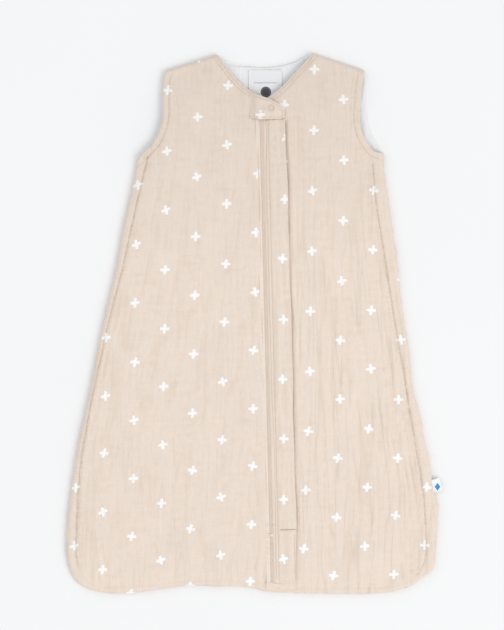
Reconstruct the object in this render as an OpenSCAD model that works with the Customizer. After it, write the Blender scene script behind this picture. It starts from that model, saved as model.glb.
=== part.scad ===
// Sleeveless baby sleeping bag lying flat on its back: two muslin shells, a
// front zip with a snap tab over its top, and two front lapels that fold open.
// Head end towards +Y, front towards +Z, back on the floor at z = 0.

/* [Bag] */
// Overall length, neck points to hem
bag_length = 676; // [600:4:800]
// Overall width at the hem, side label included
bag_width = 470; // [430:5:560]
// Height of the hollow between back and front as the bag lies flat
cavity_h = 7; // [6:0.5:12]
// Width of the sewn side, hem and shoulder seams
seam_w = 8; // [6:1:10]

/* [Fabric] */
// Thickness of the outer muslin
outer_t = 1.2; // [0.8:0.1:1.6]
// Thickness of the white lining
lining_t = 1; // [0.7:0.1:1.4]
// Gap between a folding lapel and the fixed front beside it
fold_gap = 0.5; // [0.4:0.1:1]

/* [Zip] */
// Distance from the zip's centre line to each front edge
zip_gap = 5.2; // [5.1:0.1:6]
// Pitch of the coil's teeth
tooth_pitch = 2; // [1.5:0.25:3]
// Height of the coil above its tape
coil_h = 1.8; // [1.4:0.1:2]
// Thickness of the woven tape
tape_t = 0.5; // [0.4:0.1:0.6]
// Width of each half of the tape
tape_w = 9; // [8:0.5:10]
// Length of the slider's body
slider_l = 13; // [12:0.5:14]
// Length of the pull from its pin to its end
pull_l = 16; // [14:1:20]
// Radius of the pull's hinge pin
pin_r = 0.5; // [0.4:0.05:0.6]

/* [Placket and tab] */
// Width of the folded placket strip beside the zip
placket_w = 25; // [20:1:28]
// Thickness of the folded placket
placket_t = 1; // [0.8:0.1:1.1]
// Thickness of the snap tab
tab_t = 1.4; // [1:0.1:2]

/* [Snap] */
// Outer radius of the snap's rings
snap_r = 4; // [3.5:0.25:5]
// Radius of the stud's post
stud_r = 2; // [1.6:0.1:2.2]

/* [Labels] */
// Width of the neck label
label_w = 42; // [30:1:50]
// Length of the neck label
label_l = 44; // [30:1:44]
// Radius of the round size mark
dot_r = 6.8; // [4:0.2:8]

/* [Hidden] */

tan = [0.90, 0.84, 0.78];
white = [0.95, 0.95, 0.96];
kx = bag_width / 470;
ky = bag_length / 676;

// heights of the layers
z_back_lining = outer_t;
z_floor = outer_t + lining_t;
z_ceil = z_floor + cavity_h;
z_tape = z_ceil + lining_t;
z_front = z_tape + tape_t;
z_top = z_front + outer_t;
z_coil_top = z_front + coil_h;
z_placket = z_top;
z_tab = z_top + 4.2;

function at(p) = [p[0] * kx, p[1] * ky];
function scaled(ps) = [for (p = ps) at(p)];
// a smooth curve through the points, n steps a span
function crp(a, b, c, d, t) = 0.5 * (2 * b + (c - a) * t
  + (2 * a - 5 * b + 4 * c - d) * t * t + (3 * b - a - 3 * c + d) * t * t * t);
function smooth(p, n = 4) = concat(
  [for (i = [0 : len(p) - 2]) for (k = [0 : n - 1])
    crp(p[max(i - 1, 0)], p[i], p[i + 1], p[min(i + 2, len(p) - 1)], k / n)],
  [p[len(p) - 1]]);
function rev(p) = [for (i = [len(p) - 1 : -1 : 0]) p[i]];
function part_of(p, a, b) = [for (i = [a : b]) p[i]];
// the point w inside the path at index i, for a path that has the inside on its left
function inward(p, i, w) = let (
    d = p[min(i + 1, len(p) - 1)] - p[max(i - 1, 0)], l = norm(d))
  p[i] + [-d[1], d[0]] * (w / l);
function strip(p, a, b, w) = concat(part_of(p, a, b),
  [for (i = [b : -1 : a]) inward(p, i, w)]);

// the cut of the bag, in millimetres at the standard size
neck_tip_l = [-47, 336];
neck_tip_r = [72, 338];
shoulder_l = [-111, 316];
shoulder_r = [137, 316];
arm_l = smooth(scaled([shoulder_l, [-114, 304], [-115, 279], [-115, 261], [-118, 246],
  [-125, 229], [-136, 217], [-148, 204]]));
arm_r = smooth(scaled([[161, 213], [151, 215], [144, 221], [137, 232], [132, 246],
  [131, 261], [132, 279], [134, 298], shoulder_r]));
arm_r_back = smooth(scaled([[161, 213], [154, 222], [145, 238], [140, 256],
  [138, 280], [138, 298], shoulder_r]));
side_l = smooth(scaled([[-148, 204], [-149, 192], [-156, 157], [-165, 117], [-174, 67],
  [-184, 23], [-194, -21], [-202, -64], [-211, -108], [-221, -152], [-227, -189],
  [-232, -227], [-235, -258], [-235, -289], [-231, -308], [-224, -322], [-211, -331],
  [-194, -336]]));
hem = smooth(scaled([[-194, -336], [-169, -338], [-137, -335], [-112, -331],
  [-81, -328], [-50, -329], [-19, -329], [-1, -331], [12, -335], [47, -337],
  [81, -338], [149, -338], [174, -335]]));
side_r = smooth(scaled([[174, -335], [195, -328], [211, -316], [222, -308],
  [226, -284], [228, -247], [229, -226], [226, -216], [222, -203], [218, -171],
  [212, -147], [206, -113], [201, -96], [196, -71], [192, -33], [186, 4], [181, 42],
  [177, 86], [172, 117], [167, 154], [163, 179], [161, 198], [161, 213]]));
rim = concat(part_of(side_l, 0, len(side_l) - 2), part_of(hem, 0, len(hem) - 2), side_r);
i_hem_a = len(side_l) - 1;
i_hem_b = i_hem_a + len(hem) - 1;
neck_back = smooth(scaled([neck_tip_r, [60, 332], [48, 326], [32, 322], [12, 320],
  [-6, 321], [-24, 322], [-39, 326], neck_tip_l]));
neck_front_l = smooth(scaled([[1, 288], [-6, 290.5], [-15, 297], [-24, 306],
  [-32, 316], [-40, 327], neck_tip_l]));
neck_front_r = smooth(scaled([neck_tip_r, [64, 328], [56, 319], [48, 311], [40, 302],
  [32, 294], [22, 286], [14.5, 280.5]]));

// the zip's line, and the two fold lines that meet on it at the hem
zip_a = at([7.8, 264]);
zip_b = at([21.5, -296]);
zip_tilt = atan((zip_b[0] - zip_a[0]) / (zip_a[1] - zip_b[1]));
function on_zip(y) = [zip_a[0] + (zip_a[1] - y) * tan(zip_tilt), y];
// how far below the zip's top reference a height lies along the zip
function zy(y) = (y * ky - zip_a[1]) / cos(zip_tilt);
fold_p = on_zip(-330 * ky);
fold_l = at([-44, 332]);
fold_r = at([69, 334]);
ang_l = atan((fold_p[0] - fold_l[0]) / (fold_l[1] - fold_p[1]));
ang_r = atan((fold_p[0] - fold_r[0]) / (fold_r[1] - fold_p[1]));

module slab(z, t) { translate([0, 0, z]) linear_extrude(height = t) children(); }
module zip_frame() { translate([zip_a[0], zip_a[1], 0]) rotate([0, 0, zip_tilt]) children(); }
// everything left or right of a line through the fold point at angle a, d away from it
module left_of(a, d = 0) {
  translate([fold_p[0], fold_p[1]]) rotate(a) translate([-900 + d, -1000]) square([900, 2200]);
}
module right_of(a, d = 0) {
  translate([fold_p[0], fold_p[1]]) rotate(a) translate([d, -1000]) square([900, 2200]);
}
// the half of the bag left or right of the zip, g away from its line
module left_half(g) {
  translate(zip_a) rotate(zip_tilt) translate([-900 - g, -1000]) square([900, 2000]);
}
module right_half(g) {
  translate(zip_a) rotate(zip_tilt) translate([g, -1000]) square([900, 2000]);
}

module back_shape() {
  polygon(concat(arm_l, part_of(rim, 1, len(rim) - 2), arm_r_back, neck_back));
}
module front_shape() {
  polygon(concat(arm_l, part_of(rim, 1, len(rim) - 2), arm_r, neck_front_r, neck_front_l));
}
module snap_hole(r) { translate(at([20.4, 268.8])) circle(r = r, $fn = 48); }

module back_panel() { color(tan) slab(0, outer_t) back_shape(); }
module back_lining() { color(white) slab(z_back_lining, lining_t) back_shape(); }

// everything below the foot of the opening chain, d above it
module below_chain(d = 0) {
  translate(zip_a) rotate(zip_tilt) translate([-900, -1000]) square([1800, 1000 + coil_y1 - 0.5 + d]);
}
module front_left(g) {
  intersection() {
    front_shape();
    left_half(g);
    union() { left_of(ang_l, -fold_gap / 2); below_chain(); }
  }
}
module front_right(g) {
  intersection() {
    front_shape();
    right_half(g);
    union() { right_of(ang_r, fold_gap / 2); below_chain(); }
  }
}
module lapel_l(g) {
  difference() {
    intersection() { front_shape(); left_half(g); right_of(ang_l, fold_gap / 2); }
    below_chain(0.5);
  }
}
module lapel_r(g) {
  difference() {
    intersection() { front_shape(); right_half(g); left_of(ang_r, -fold_gap / 2); }
    below_chain(0.5);
    snap_hole(1.5);
  }
}
module front_left_panel() { color(tan) slab(z_front, outer_t) front_left(zip_gap); }
module front_left_lining() { color(white) slab(z_ceil, lining_t)
  difference() { front_left(zip_gap + 0.4); all_seams(); } }
module front_right_panel() { color(tan) slab(z_front, outer_t) front_right(zip_gap); }
module front_right_lining() { color(white) slab(z_ceil, lining_t)
  difference() { front_right(zip_gap + 0.4); all_seams(); } }
module left_lapel() { color(tan) slab(z_front, outer_t) lapel_l(zip_gap); }
module left_lapel_lining() { color(white) slab(z_ceil, lining_t) lapel_l(zip_gap + 0.4); }
module right_lapel() { color(tan) slab(z_front, outer_t) lapel_r(zip_gap); }
module right_lapel_lining() { color(white) slab(z_ceil, lining_t) lapel_r(zip_gap + 0.4); }

// the seams that join back to front round the hollow
module rim_strip(a, b) { polygon(strip(rim, a, b, seam_w)); }
module shoulder_strip(a, b) {
  p = [at(a), at(b)];
  polygon(strip(p, 0, 1, seam_w));
}
module all_seams() {
  rim_strip(0, i_hem_a);
  rim_strip(i_hem_a, i_hem_b);
  rim_strip(i_hem_b, len(rim) - 1);
  shoulder_strip(neck_tip_l, shoulder_l);
  shoulder_strip(shoulder_r, neck_tip_r);
}
module seam(a, b) { color(tan) slab(z_floor, z_front - z_floor) rim_strip(a, b); }
module side_seam_left() { seam(0, i_hem_a); }
module hem_seam() { seam(i_hem_a, i_hem_b); }
module side_seam_right() { seam(i_hem_b, len(rim) - 1); }
module shoulder(a, b) { color(tan) slab(z_floor, z_front - z_floor) shoulder_strip(a, b); }
module shoulder_seam_left() { shoulder(neck_tip_l, shoulder_l); }
module shoulder_seam_right() { shoulder(shoulder_r, neck_tip_r); }

// turned edges of the neck and armholes, between the outer and the lining
module neck_facing_left() {
  color(tan) slab(z_tape, tape_t) intersection() {
    polygon(strip(neck_front_l, 0, len(neck_front_l) - 1, 8));
    lapel_l(tape_w + 0.4);
  }
}
module neck_facing_right() {
  color(tan) slab(z_tape, tape_t) intersection() {
    polygon(strip(neck_front_r, 0, len(neck_front_r) - 1, 8));
    lapel_r(tape_w + 0.4);
  }
}
module armhole_facing(p) {
  color(tan) slab(z_tape, tape_t) difference() {
    intersection() { polygon(strip(p, 0, len(p) - 1, 7)); front_shape(); }
    all_seams();
  }
}
module armhole_facing_left() { armhole_facing(arm_l); }
module armhole_facing_right() { armhole_facing(arm_r); }

// the zip: y is along the zip, 0 at its top reference, teeth of the halves alternate
coil_w = 2.2;
coil_y0 = zy(273.4);
coil_y1 = zy(-261);
slider_y = zy(262);
post_y = slider_y + slider_l / 2 - 3.5;
teeth = floor((coil_y0 - coil_y1) / tooth_pitch);
function ease(t) = let (u = max(0, min(1, t))) u * u * (3 - 2 * u);
// the halves part round the slider's post at the top of the chain
function part_x(y) = 1.35 * ease((y - post_y + 5) / 4);
function tooth_edge(s) = [for (i = [0 : teeth - 1])
  let (y = coil_y1 + (i + 0.25 + s * 0.5) * tooth_pitch, h = 0.2 * tooth_pitch)
  each [[0.8, y - h], [-0.35, y - h], [-0.35, y + h], [0.8, y + h]]];
// the outline of one half, x measured outwards from the centre line
function coil_half(s) = concat(
  [for (p = tooth_edge(s)) [p[0] + part_x(p[1]), p[1]]],
  [for (k = [0 : 12]) let (y = coil_y0 + (coil_y1 - coil_y0) * k / 12 / 12) [coil_w + part_x(y), y]],
  [[coil_w, coil_y1]]);
module zip_coil_left() {
  color(tan) zip_frame() slab(z_front, coil_h) mirror([1, 0]) polygon(coil_half(0));
}
module zip_coil_right() {
  color(tan) zip_frame() slab(z_front, coil_h) polygon(coil_half(1));
}
tape_top = zy(278);
function tape_half() = concat(
  [[0.6, coil_y1]],
  [for (k = [0 : 8]) let (y = post_y - 6 + 8 * k / 8) [0.6 + part_x(y), y]],
  [[1.95, tape_top], [tape_w, tape_top], [tape_w, coil_y1]]);
module zip_tape_left() {
  color(tan) slab(z_tape, tape_t) intersection() {
    translate(zip_a) rotate(zip_tilt) mirror([1, 0]) polygon(tape_half());
    right_of(ang_l, fold_gap / 2);
  }
}
module zip_tape_right() {
  color(tan) slab(z_tape, tape_t) intersection() {
    translate(zip_a) rotate(zip_tilt) polygon(tape_half());
    left_of(ang_r, -fold_gap / 2);
  }
}
tail_y = zy(-324.5);
stop_y = zy(-262);
module tape_rect(y0, y1) {
  translate(zip_a) rotate(zip_tilt) translate([-tape_w, y0]) square([2 * tape_w, y1 - y0]);
}
module zip_tape_tail() {
  color(tan) slab(z_tape, tape_t) union() {
    tape_rect(tail_y, stop_y - 3);
    intersection() { tape_rect(tail_y, coil_y1 + 120); left_of(ang_l, -fold_gap / 2); }
    intersection() { tape_rect(tail_y, coil_y1 + 120); right_of(ang_r, fold_gap / 2); }
  }
}
module zip_coil_tail() {
  color(tan) zip_frame() translate([-coil_w, tail_y, z_front])
    cube([2 * coil_w, stop_y - 4.5 - tail_y, coil_h]);
}
module zip_bottom_stop() {
  color("silver") zip_frame() translate([-coil_w - 0.4, stop_y - 4, z_front])
    cube([2 * coil_w + 0.8, 3.4, coil_h + 0.5]);
}
module top_stop() {
  color("silver") zip_frame() translate([coil_w - 0.9, coil_y0 + 0.2, z_front])
    cube([2.6, 3.2, coil_h + 0.4]);
}
module zip_top_stop_right() { top_stop(); }
module zip_top_stop_left() {
  color("silver") zip_frame() translate([-coil_w + 0.9 - 2.6, coil_y0 + 0.2, z_front])
    cube([2.6, 3.2, coil_h + 0.4]);
}

// the slider: two plates on a post, flanges that close on the coil, two ears for the pin
z_pin = z_coil_top + 1.25 + pin_r + 0.55;
z_ear = z_pin + pin_r + 0.4;
module slider_plate(w) {
  translate([0, slider_y]) polygon([[-4, -slider_l / 2], [4, -slider_l / 2], [4, -3], [w, 0.5],
    [w, slider_l / 2 - 1.5], [w - 1.5, slider_l / 2], [1.5 - w, slider_l / 2],
    [-w, slider_l / 2 - 1.5], [-w, 0.5], [-4, -3]]);
}
module slider_channel() {
  translate([0, slider_y]) polygon([[-2.45, -slider_l], [2.45, -slider_l], [2.45, -3],
    [3.95, 1], [3.95, slider_l], [-3.95, slider_l], [-3.95, 1], [-2.45, -3]]);
}
module zip_slider() {
  color("burlywood") zip_frame() difference() {
    union() {
      slab(z_tape - 1.1, 1) slider_plate(4.4);
      slab(z_coil_top + 0.15, 1.1) slider_plate(4.7);
      slab(z_front + 0.25, coil_h + 0.2) difference() { slider_plate(4.7); slider_channel(); }
      slab(z_tape - 0.2, coil_h + tape_t + 0.5) translate([0, post_y]) circle(r = 0.8, $fn = 32);
      for (s = [-1, 1]) translate([s * 2.4 - 0.6, slider_y - 1.6, z_coil_top + 1.2])
        cube([1.2, 3.2, z_ear - z_coil_top - 1.2]);
    }
    translate([-5, slider_y, z_pin]) rotate([0, 90, 0]) cylinder(r = pin_r + 0.06, h = 10, $fn = 32);
  }
}
module zip_pull() {
  color("burlywood") zip_frame() translate([0, slider_y, z_pin]) {
    translate([-2.9, 0, 0]) rotate([0, 90, 0]) cylinder(r = pin_r, h = 5.8, $fn = 32);
    translate([-1.6, 0, 0]) rotate([0, 90, 0]) cylinder(r = pin_r + 0.45, h = 3.2, $fn = 32);
    translate([0, 0, -0.5]) difference() {
      linear_extrude(height = 1) polygon([[-1.6, 0], [1.6, 0], [1.8, 4], [2.9, 6.5],
        [2.9, pull_l - 1.5], [1.8, pull_l], [-1.8, pull_l], [-2.9, pull_l - 1.5],
        [-2.9, 6.5], [-1.8, 4]]);
      translate([0, pull_l - 3.2, -1]) cylinder(r = 1.3, h = 3, $fn = 32);
    }
  }
}

// the placket strip beside the zip, tacked down near the hem
module placket_shape() {
  translate(zip_a) rotate(zip_tilt) polygon([[6, zy(254)], [6 + placket_w - 1.5, zy(254)],
    [6 + placket_w, zy(200)], [6 + placket_w, zy(-260)], [6 + placket_w - 3, zy(-333)],
    [6, zy(-333)]]);
}
module placket() {
  color(tan) slab(z_placket, placket_t) intersection() { placket_shape(); left_of(ang_r, -5); }
}
module placket_foot() {
  color(tan) slab(z_placket, placket_t) intersection() { placket_shape(); right_of(ang_r, 3); }
}
module placket_bar_tack() {
  color("tan") zip_frame() translate([11, zy(-259), z_placket + placket_t]) cube([19, 1.4, 0.5]);
}

// the tab that snaps over the zip's top, its sewn end, and its snap
module tab_base() {
  color(tan) translate([0, 283 * ky, 0]) rotate([90, 0, 0])
    linear_extrude(height = 27 * ky) translate([1.2 * kx, 0])
      polygon([[-12, z_top], [0, z_top], [0, z_tab + tab_t], [-3.5, z_tab + tab_t - 0.3],
        [-8, z_top + 2.6], [-12, z_top + 0.6]]);
}
module snap_tab() {
  color(tan) slab(z_tab, tab_t) difference() {
    polygon(scaled([[1.5, 283.5], [10, 285], [18, 281.5], [26, 276.5], [34.5, 271], [36.8, 265],
      [36.3, 255.6], [8.8, 255], [1.5, 256]]));
    snap_hole(1.5);
  }
}
module snap_at(z) { translate(concat(at([20.4, 268.8]), [z])) children(); }
// the ring over the tab, with the rivet that holds the socket under it
module snap_cap() {
  color("tan") snap_at(z_tab + tab_t) difference() {
    cylinder(r = snap_r, h = 0.7, $fn = 64);
    translate([0, 0, -1]) cylinder(r = snap_r - 1.25, h = 3, $fn = 64);
  }
}
module snap_socket() {
  color("silver") snap_at(z_top + 0.9) difference() {
    cylinder(r = snap_r, h = z_tab - z_top - 0.9, $fn = 64);
    translate([0, 0, -1]) cylinder(r = stud_r + 0.08, h = 4, $fn = 48);
  }
}
module snap_stud() {
  color("silver") snap_at(0) {
    translate([0, 0, z_top]) cylinder(r = snap_r - 0.3, h = 0.6, $fn = 64);
    translate([0, 0, z_top + 0.5]) cylinder(r = stud_r, h = 2.1, $fn = 48);
    translate([0, 0, z_ceil - 0.1]) cylinder(r = 1.4, h = z_top - z_ceil + 0.2, $fn = 32);
  }
}
module snap_back_ring() {
  color("silver") snap_at(z_ceil - 0.7) difference() {
    cylinder(r = snap_r - 0.2, h = 0.7, $fn = 64);
    translate([0, 0, -1]) cylinder(r = 1.46, h = 3, $fn = 48);
  }
}

module neck_label() {
  color("white") translate([14.4 * kx - label_w / 2, 317 * ky - label_l, z_floor])
    cube([label_w, label_l, 0.5]);
}
module size_mark() {
  color("dimgray") translate([13.6 * kx, 290 * ky, z_floor + 0.5]) cylinder(r = dot_r, h = 0.3, $fn = 96);
}
module side_label() {
  color("white") slab(z_floor + cavity_h / 2, 0.9) difference() {
    translate(at([222, -204])) rotate(15) translate([-4, -8]) square([15.3, 16]);
    back_shape();
  }
}
module care_label() {
  color("white") translate([at([-175, -60])[0], at([-175, -60])[1], z_floor])
    rotate([0, 0, 12]) cube([24, 38, 0.6]);
}

back_panel();
back_lining();
front_left_panel();
front_left_lining();
front_right_panel();
front_right_lining();
side_seam_left();
side_seam_right();
hem_seam();
shoulder_seam_left();
shoulder_seam_right();
left_lapel();
left_lapel_lining();
right_lapel();
right_lapel_lining();
zip_tape_left();
zip_tape_right();
zip_coil_left();
zip_coil_right();
zip_top_stop_left();
zip_top_stop_right();
zip_tape_tail();
zip_coil_tail();
zip_bottom_stop();
zip_slider();
zip_pull();
placket();
placket_foot();
placket_bar_tack();
neck_facing_left();
neck_facing_right();
armhole_facing_left();
armhole_facing_right();
tab_base();
snap_tab();
snap_cap();
snap_socket();
snap_stud();
snap_back_ring();
neck_label();
size_mark();
side_label();
care_label();
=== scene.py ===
import math

import bpy
import numpy as np
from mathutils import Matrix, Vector
from mathutils.kdtree import KDTree


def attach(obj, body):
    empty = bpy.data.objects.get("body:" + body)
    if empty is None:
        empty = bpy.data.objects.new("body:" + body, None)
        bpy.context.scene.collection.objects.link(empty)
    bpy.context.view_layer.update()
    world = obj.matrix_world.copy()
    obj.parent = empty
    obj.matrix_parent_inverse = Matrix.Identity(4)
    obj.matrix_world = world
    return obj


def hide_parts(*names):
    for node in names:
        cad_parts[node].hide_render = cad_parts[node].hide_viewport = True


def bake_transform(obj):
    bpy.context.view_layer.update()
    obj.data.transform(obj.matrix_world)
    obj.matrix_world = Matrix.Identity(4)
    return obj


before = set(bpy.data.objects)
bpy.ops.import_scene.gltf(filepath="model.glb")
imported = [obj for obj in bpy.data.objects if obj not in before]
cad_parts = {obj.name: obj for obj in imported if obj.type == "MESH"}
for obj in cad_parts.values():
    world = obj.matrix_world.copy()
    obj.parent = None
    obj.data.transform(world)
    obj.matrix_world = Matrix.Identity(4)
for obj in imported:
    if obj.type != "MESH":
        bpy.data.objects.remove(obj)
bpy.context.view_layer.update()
MM = 0.001


# ---------------------------------------------------------------- outlines, in millimetres
def curve(points, n=8):
    p = np.array(points, float)
    out = []
    for i in range(len(p) - 1):
        a, b, c, d = p[max(i - 1, 0)], p[i], p[i + 1], p[min(i + 2, len(p) - 1)]
        for k in range(n):
            t = k / n
            out.append(0.5 * (2 * b + (c - a) * t + (2 * a - 5 * b + 4 * c - d) * t * t
                              + (3 * b - a - 3 * c + d) * t ** 3))
    out.append(p[-1])
    return np.array(out)


def lengths(line):
    return np.r_[0, np.cumsum(np.linalg.norm(np.diff(line, axis=0), axis=1))]


def even(line, n):
    s = lengths(line)
    t = np.linspace(0, s[-1], n)
    return np.stack([np.interp(t, s, line[:, k]) for k in range(line.shape[1])], 1)


def join(*lines):
    out = list(lines[0])
    for line in lines[1:]:
        out += [p for i, p in enumerate(line) if i or not np.allclose(p, out[-1])]
    return np.array(out)


neck_tip_l, neck_tip_r = np.array([[-47.0, 336]]), np.array([[72.0, 338]])
shoulder_l, shoulder_r = np.array([[-111.0, 316]]), np.array([[137.0, 316]])
arm_l = curve([[-111, 316], [-114, 304], [-115, 279], [-115, 261], [-118, 246],
               [-125, 229], [-136, 217], [-148, 204]])
arm_r = curve([[161, 213], [151, 215], [144, 221], [137, 232], [132, 246],
               [131, 261], [132, 279], [134, 298], [137, 316]])
arm_r_back = curve([[161, 213], [154, 222], [145, 238], [140, 256],
                    [138, 280], [138, 298], [137, 316]])
side_l = curve([[-148, 204], [-149, 192], [-156, 157], [-165, 117], [-174, 67],
                [-184, 23], [-194, -21], [-202, -64], [-211, -108], [-221, -152], [-227, -189],
                [-232, -227], [-235, -258], [-235, -289], [-231, -308], [-224, -322], [-211, -331],
                [-194, -336]])
hem = curve([[-194, -336], [-169, -338], [-137, -335], [-112, -331],
             [-81, -328], [-50, -329], [-19, -329], [-1, -331], [12, -335], [47, -337],
             [81, -338], [149, -338], [174, -335]])
side_r = curve([[174, -335], [195, -328], [211, -316], [222, -308],
                [226, -284], [228, -247], [229, -226], [226, -216], [222, -203], [218, -171],
                [212, -147], [206, -113], [201, -96], [196, -71], [192, -33], [186, 4], [181, 42],
                [177, 86], [172, 117], [167, 154], [163, 179], [161, 198], [161, 213]])
neck_back = curve([[72, 338], [60, 332], [48, 326], [32, 322], [12, 320],
                   [-6, 321], [-24, 322], [-39, 326], [-47, 336]])
neck_front_l = curve([[1, 288], [-6, 290.5], [-15, 297], [-24, 306],
                      [-32, 316], [-40, 327], [-47, 336]])
neck_front_r = curve([[72, 338], [64, 328], [56, 319], [48, 311], [40, 302],
                      [32, 294], [22, 286], [14.5, 280.5]])


def zip_x(y):
    """The zip's line runs slightly across the bag."""
    return 7.8 + (264 - y) * 0.024464


def hem_y(x):
    return float(np.interp(x, hem[:, 0], hem[:, 1]))


TILT = math.atan(0.024464)
DOWN = np.array([math.sin(TILT), -math.cos(TILT)])
ACROSS = np.array([math.cos(TILT), math.sin(TILT)])
TOP = np.array([7.8, 264.0])


def zip_to_xy(across, down):
    """A point so far right of the zip's line, and so far down it from its top."""
    return TOP + np.multiply.outer(across, ACROSS) + np.multiply.outer(down, DOWN)


# ---------------------------------------------------------------- small maths
def smooth(t):
    t = np.clip(t, 0, 1)
    return t * t * (3 - 2 * t)


def scallop(line, amp, lam, seed):
    """The outline drawn in a little at each pucker of the seam."""
    s = lengths(line)
    r = np.random.RandomState(seed)
    t = np.gradient(line, axis=0)
    t /= np.maximum(np.linalg.norm(t, axis=1), 1e-9)[:, None]
    w = sum(np.cos(2 * math.pi * s / (lam * f) + r.uniform(0, 6.28)) for f in (0.62, 1.0, 1.7)) / 2
    w = w * amp * smooth(s / 12) * smooth((s[-1] - s) / 12)
    return line + np.stack([-t[:, 1], t[:, 0]], 1) * (w + amp * 0.3)[:, None]


side_l = scallop(even(side_l, 260), 0.55, 13, 1)
side_r = scallop(even(side_r, 260), 0.55, 13, 2)
hem = scallop(even(hem, 200), 0.4, 21, 3)
def hump(d, c, w):
    return np.exp(-(((d - c) / w) ** 2))


def waves(x, y, lx, ly, seed, n=30, spread=0.3):
    """An even, seeded noise of about unit size, with wavelengths near lx across and ly along."""
    r = np.random.RandomState(seed)
    out = np.zeros(np.broadcast(x, y).shape)
    for _ in range(n):
        kx = 2 * math.pi / (lx * math.exp(r.normal(0, spread)))
        ky = 2 * math.pi / ly * r.normal(0, 1)
        out += np.cos(kx * x + ky * y + r.uniform(0, 2 * math.pi))
    return out * math.sqrt(2 / n)


def near(p, line):
    """How far each point is from the line, and how far along the line its nearest point is."""
    a = line[:-1]
    d = line[1:] - a
    l2 = np.maximum((d ** 2).sum(1), 1e-12)
    s = lengths(line)[:-1]
    far, along = np.empty(len(p)), np.empty(len(p))
    for i in range(0, len(p), 3000):
        q = p[i:i + 3000, None] - a
        t = np.clip((q * d).sum(2) / l2, 0, 1)
        h = np.sqrt(((q - t[..., None] * d) ** 2).sum(2))
        j = h.argmin(1)
        k = np.arange(len(j))
        far[i:i + 3000] = h[k, j]
        along[i:i + 3000] = s[j] + t[k, j] * np.sqrt(l2[j])
    return far, along


def patch(left, right, bottom, top, nu, nv):
    """An even grid of points between four edges, nv rows from bottom to top."""
    l, r, b, t = even(left, nv), even(right, nv), even(bottom, nu), even(top, nu)
    u = np.linspace(0, 1, nu)[None, :, None]
    v = np.linspace(0, 1, nv)[:, None, None]
    return ((1 - u) * l[:, None] + u * r[:, None] + (1 - v) * b[None] + v * t[None]
            - ((1 - u) * (1 - v) * b[0] + u * (1 - v) * b[-1]
               + (1 - u) * v * t[0] + u * v * t[-1]))


# ---------------------------------------------------------------- materials
def new_material(name):
    m = bpy.data.materials.new(name)
    m.use_nodes = True
    t = m.node_tree
    return m, t, t.nodes["Principled BSDF"]


def math_node(t, op, a, b=None, c=None, clamp=False):
    n = t.nodes.new("ShaderNodeMath")
    n.operation = op
    n.use_clamp = clamp
    for i, v in enumerate((a, b, c)):
        if v is None:
            continue
        if isinstance(v, (int, float)):
            n.inputs[i].default_value = v
        else:
            t.links.new(v, n.inputs[i])
    return n.outputs[0]


def uv_scaled(t, layer, scale):
    uv = t.nodes.new("ShaderNodeUVMap")
    uv.uv_map = layer
    m = t.nodes.new("ShaderNodeMapping")
    m.inputs["Scale"].default_value = scale
    t.links.new(uv.outputs[0], m.inputs["Vector"])
    return m.outputs[0]


def noise_tex(t, vec, scale, detail=2.0, rough=0.5, dist=0.0):
    n = t.nodes.new("ShaderNodeTexNoise")
    n.inputs["Scale"].default_value = scale
    n.inputs["Detail"].default_value = detail
    n.inputs["Roughness"].default_value = rough
    n.inputs["Distortion"].default_value = dist
    t.links.new(vec, n.inputs["Vector"])
    return n.outputs[0]


def wave_tex(t, vec, axis, scale, dist=0.6):
    n = t.nodes.new("ShaderNodeTexWave")
    n.wave_type = "BANDS"
    n.bands_direction = axis
    n.inputs["Scale"].default_value = scale
    n.inputs["Distortion"].default_value = dist
    n.inputs["Detail"].default_value = 1.0
    n.inputs["Detail Scale"].default_value = 0.6
    t.links.new(vec, n.inputs["Vector"])
    return n.outputs["Fac"]


def ramp(t, value, stops):
    n = t.nodes.new("ShaderNodeValToRGB")
    while len(n.color_ramp.elements) < len(stops):
        n.color_ramp.elements.new(0.5)
    for e, (pos, col) in zip(n.color_ramp.elements, stops):
        e.position = pos
        e.color = (*col, 1)
    t.links.new(value, n.inputs[0])
    return n.outputs[0]


def mix_rgb(t, fac, a, b, mode="MIX"):
    n = t.nodes.new("ShaderNodeMix")
    n.data_type = "RGBA"
    n.blend_type = mode
    for s, v in ((0, fac), (6, a), (7, b)):
        if isinstance(v, (int, float)):
            n.inputs[s].default_value = v
        elif isinstance(v, tuple):
            n.inputs[s].default_value = (*v, 1)
        else:
            t.links.new(v, n.inputs[s])
    return n.outputs[2]


def bump_node(t, height, strength, distance, normal=None):
    n = t.nodes.new("ShaderNodeBump")
    n.inputs["Strength"].default_value = strength
    n.inputs["Distance"].default_value = distance
    t.links.new(height, n.inputs["Height"])
    if normal is not None:
        t.links.new(normal, n.inputs["Normal"])
    return n.outputs[0]


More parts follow.
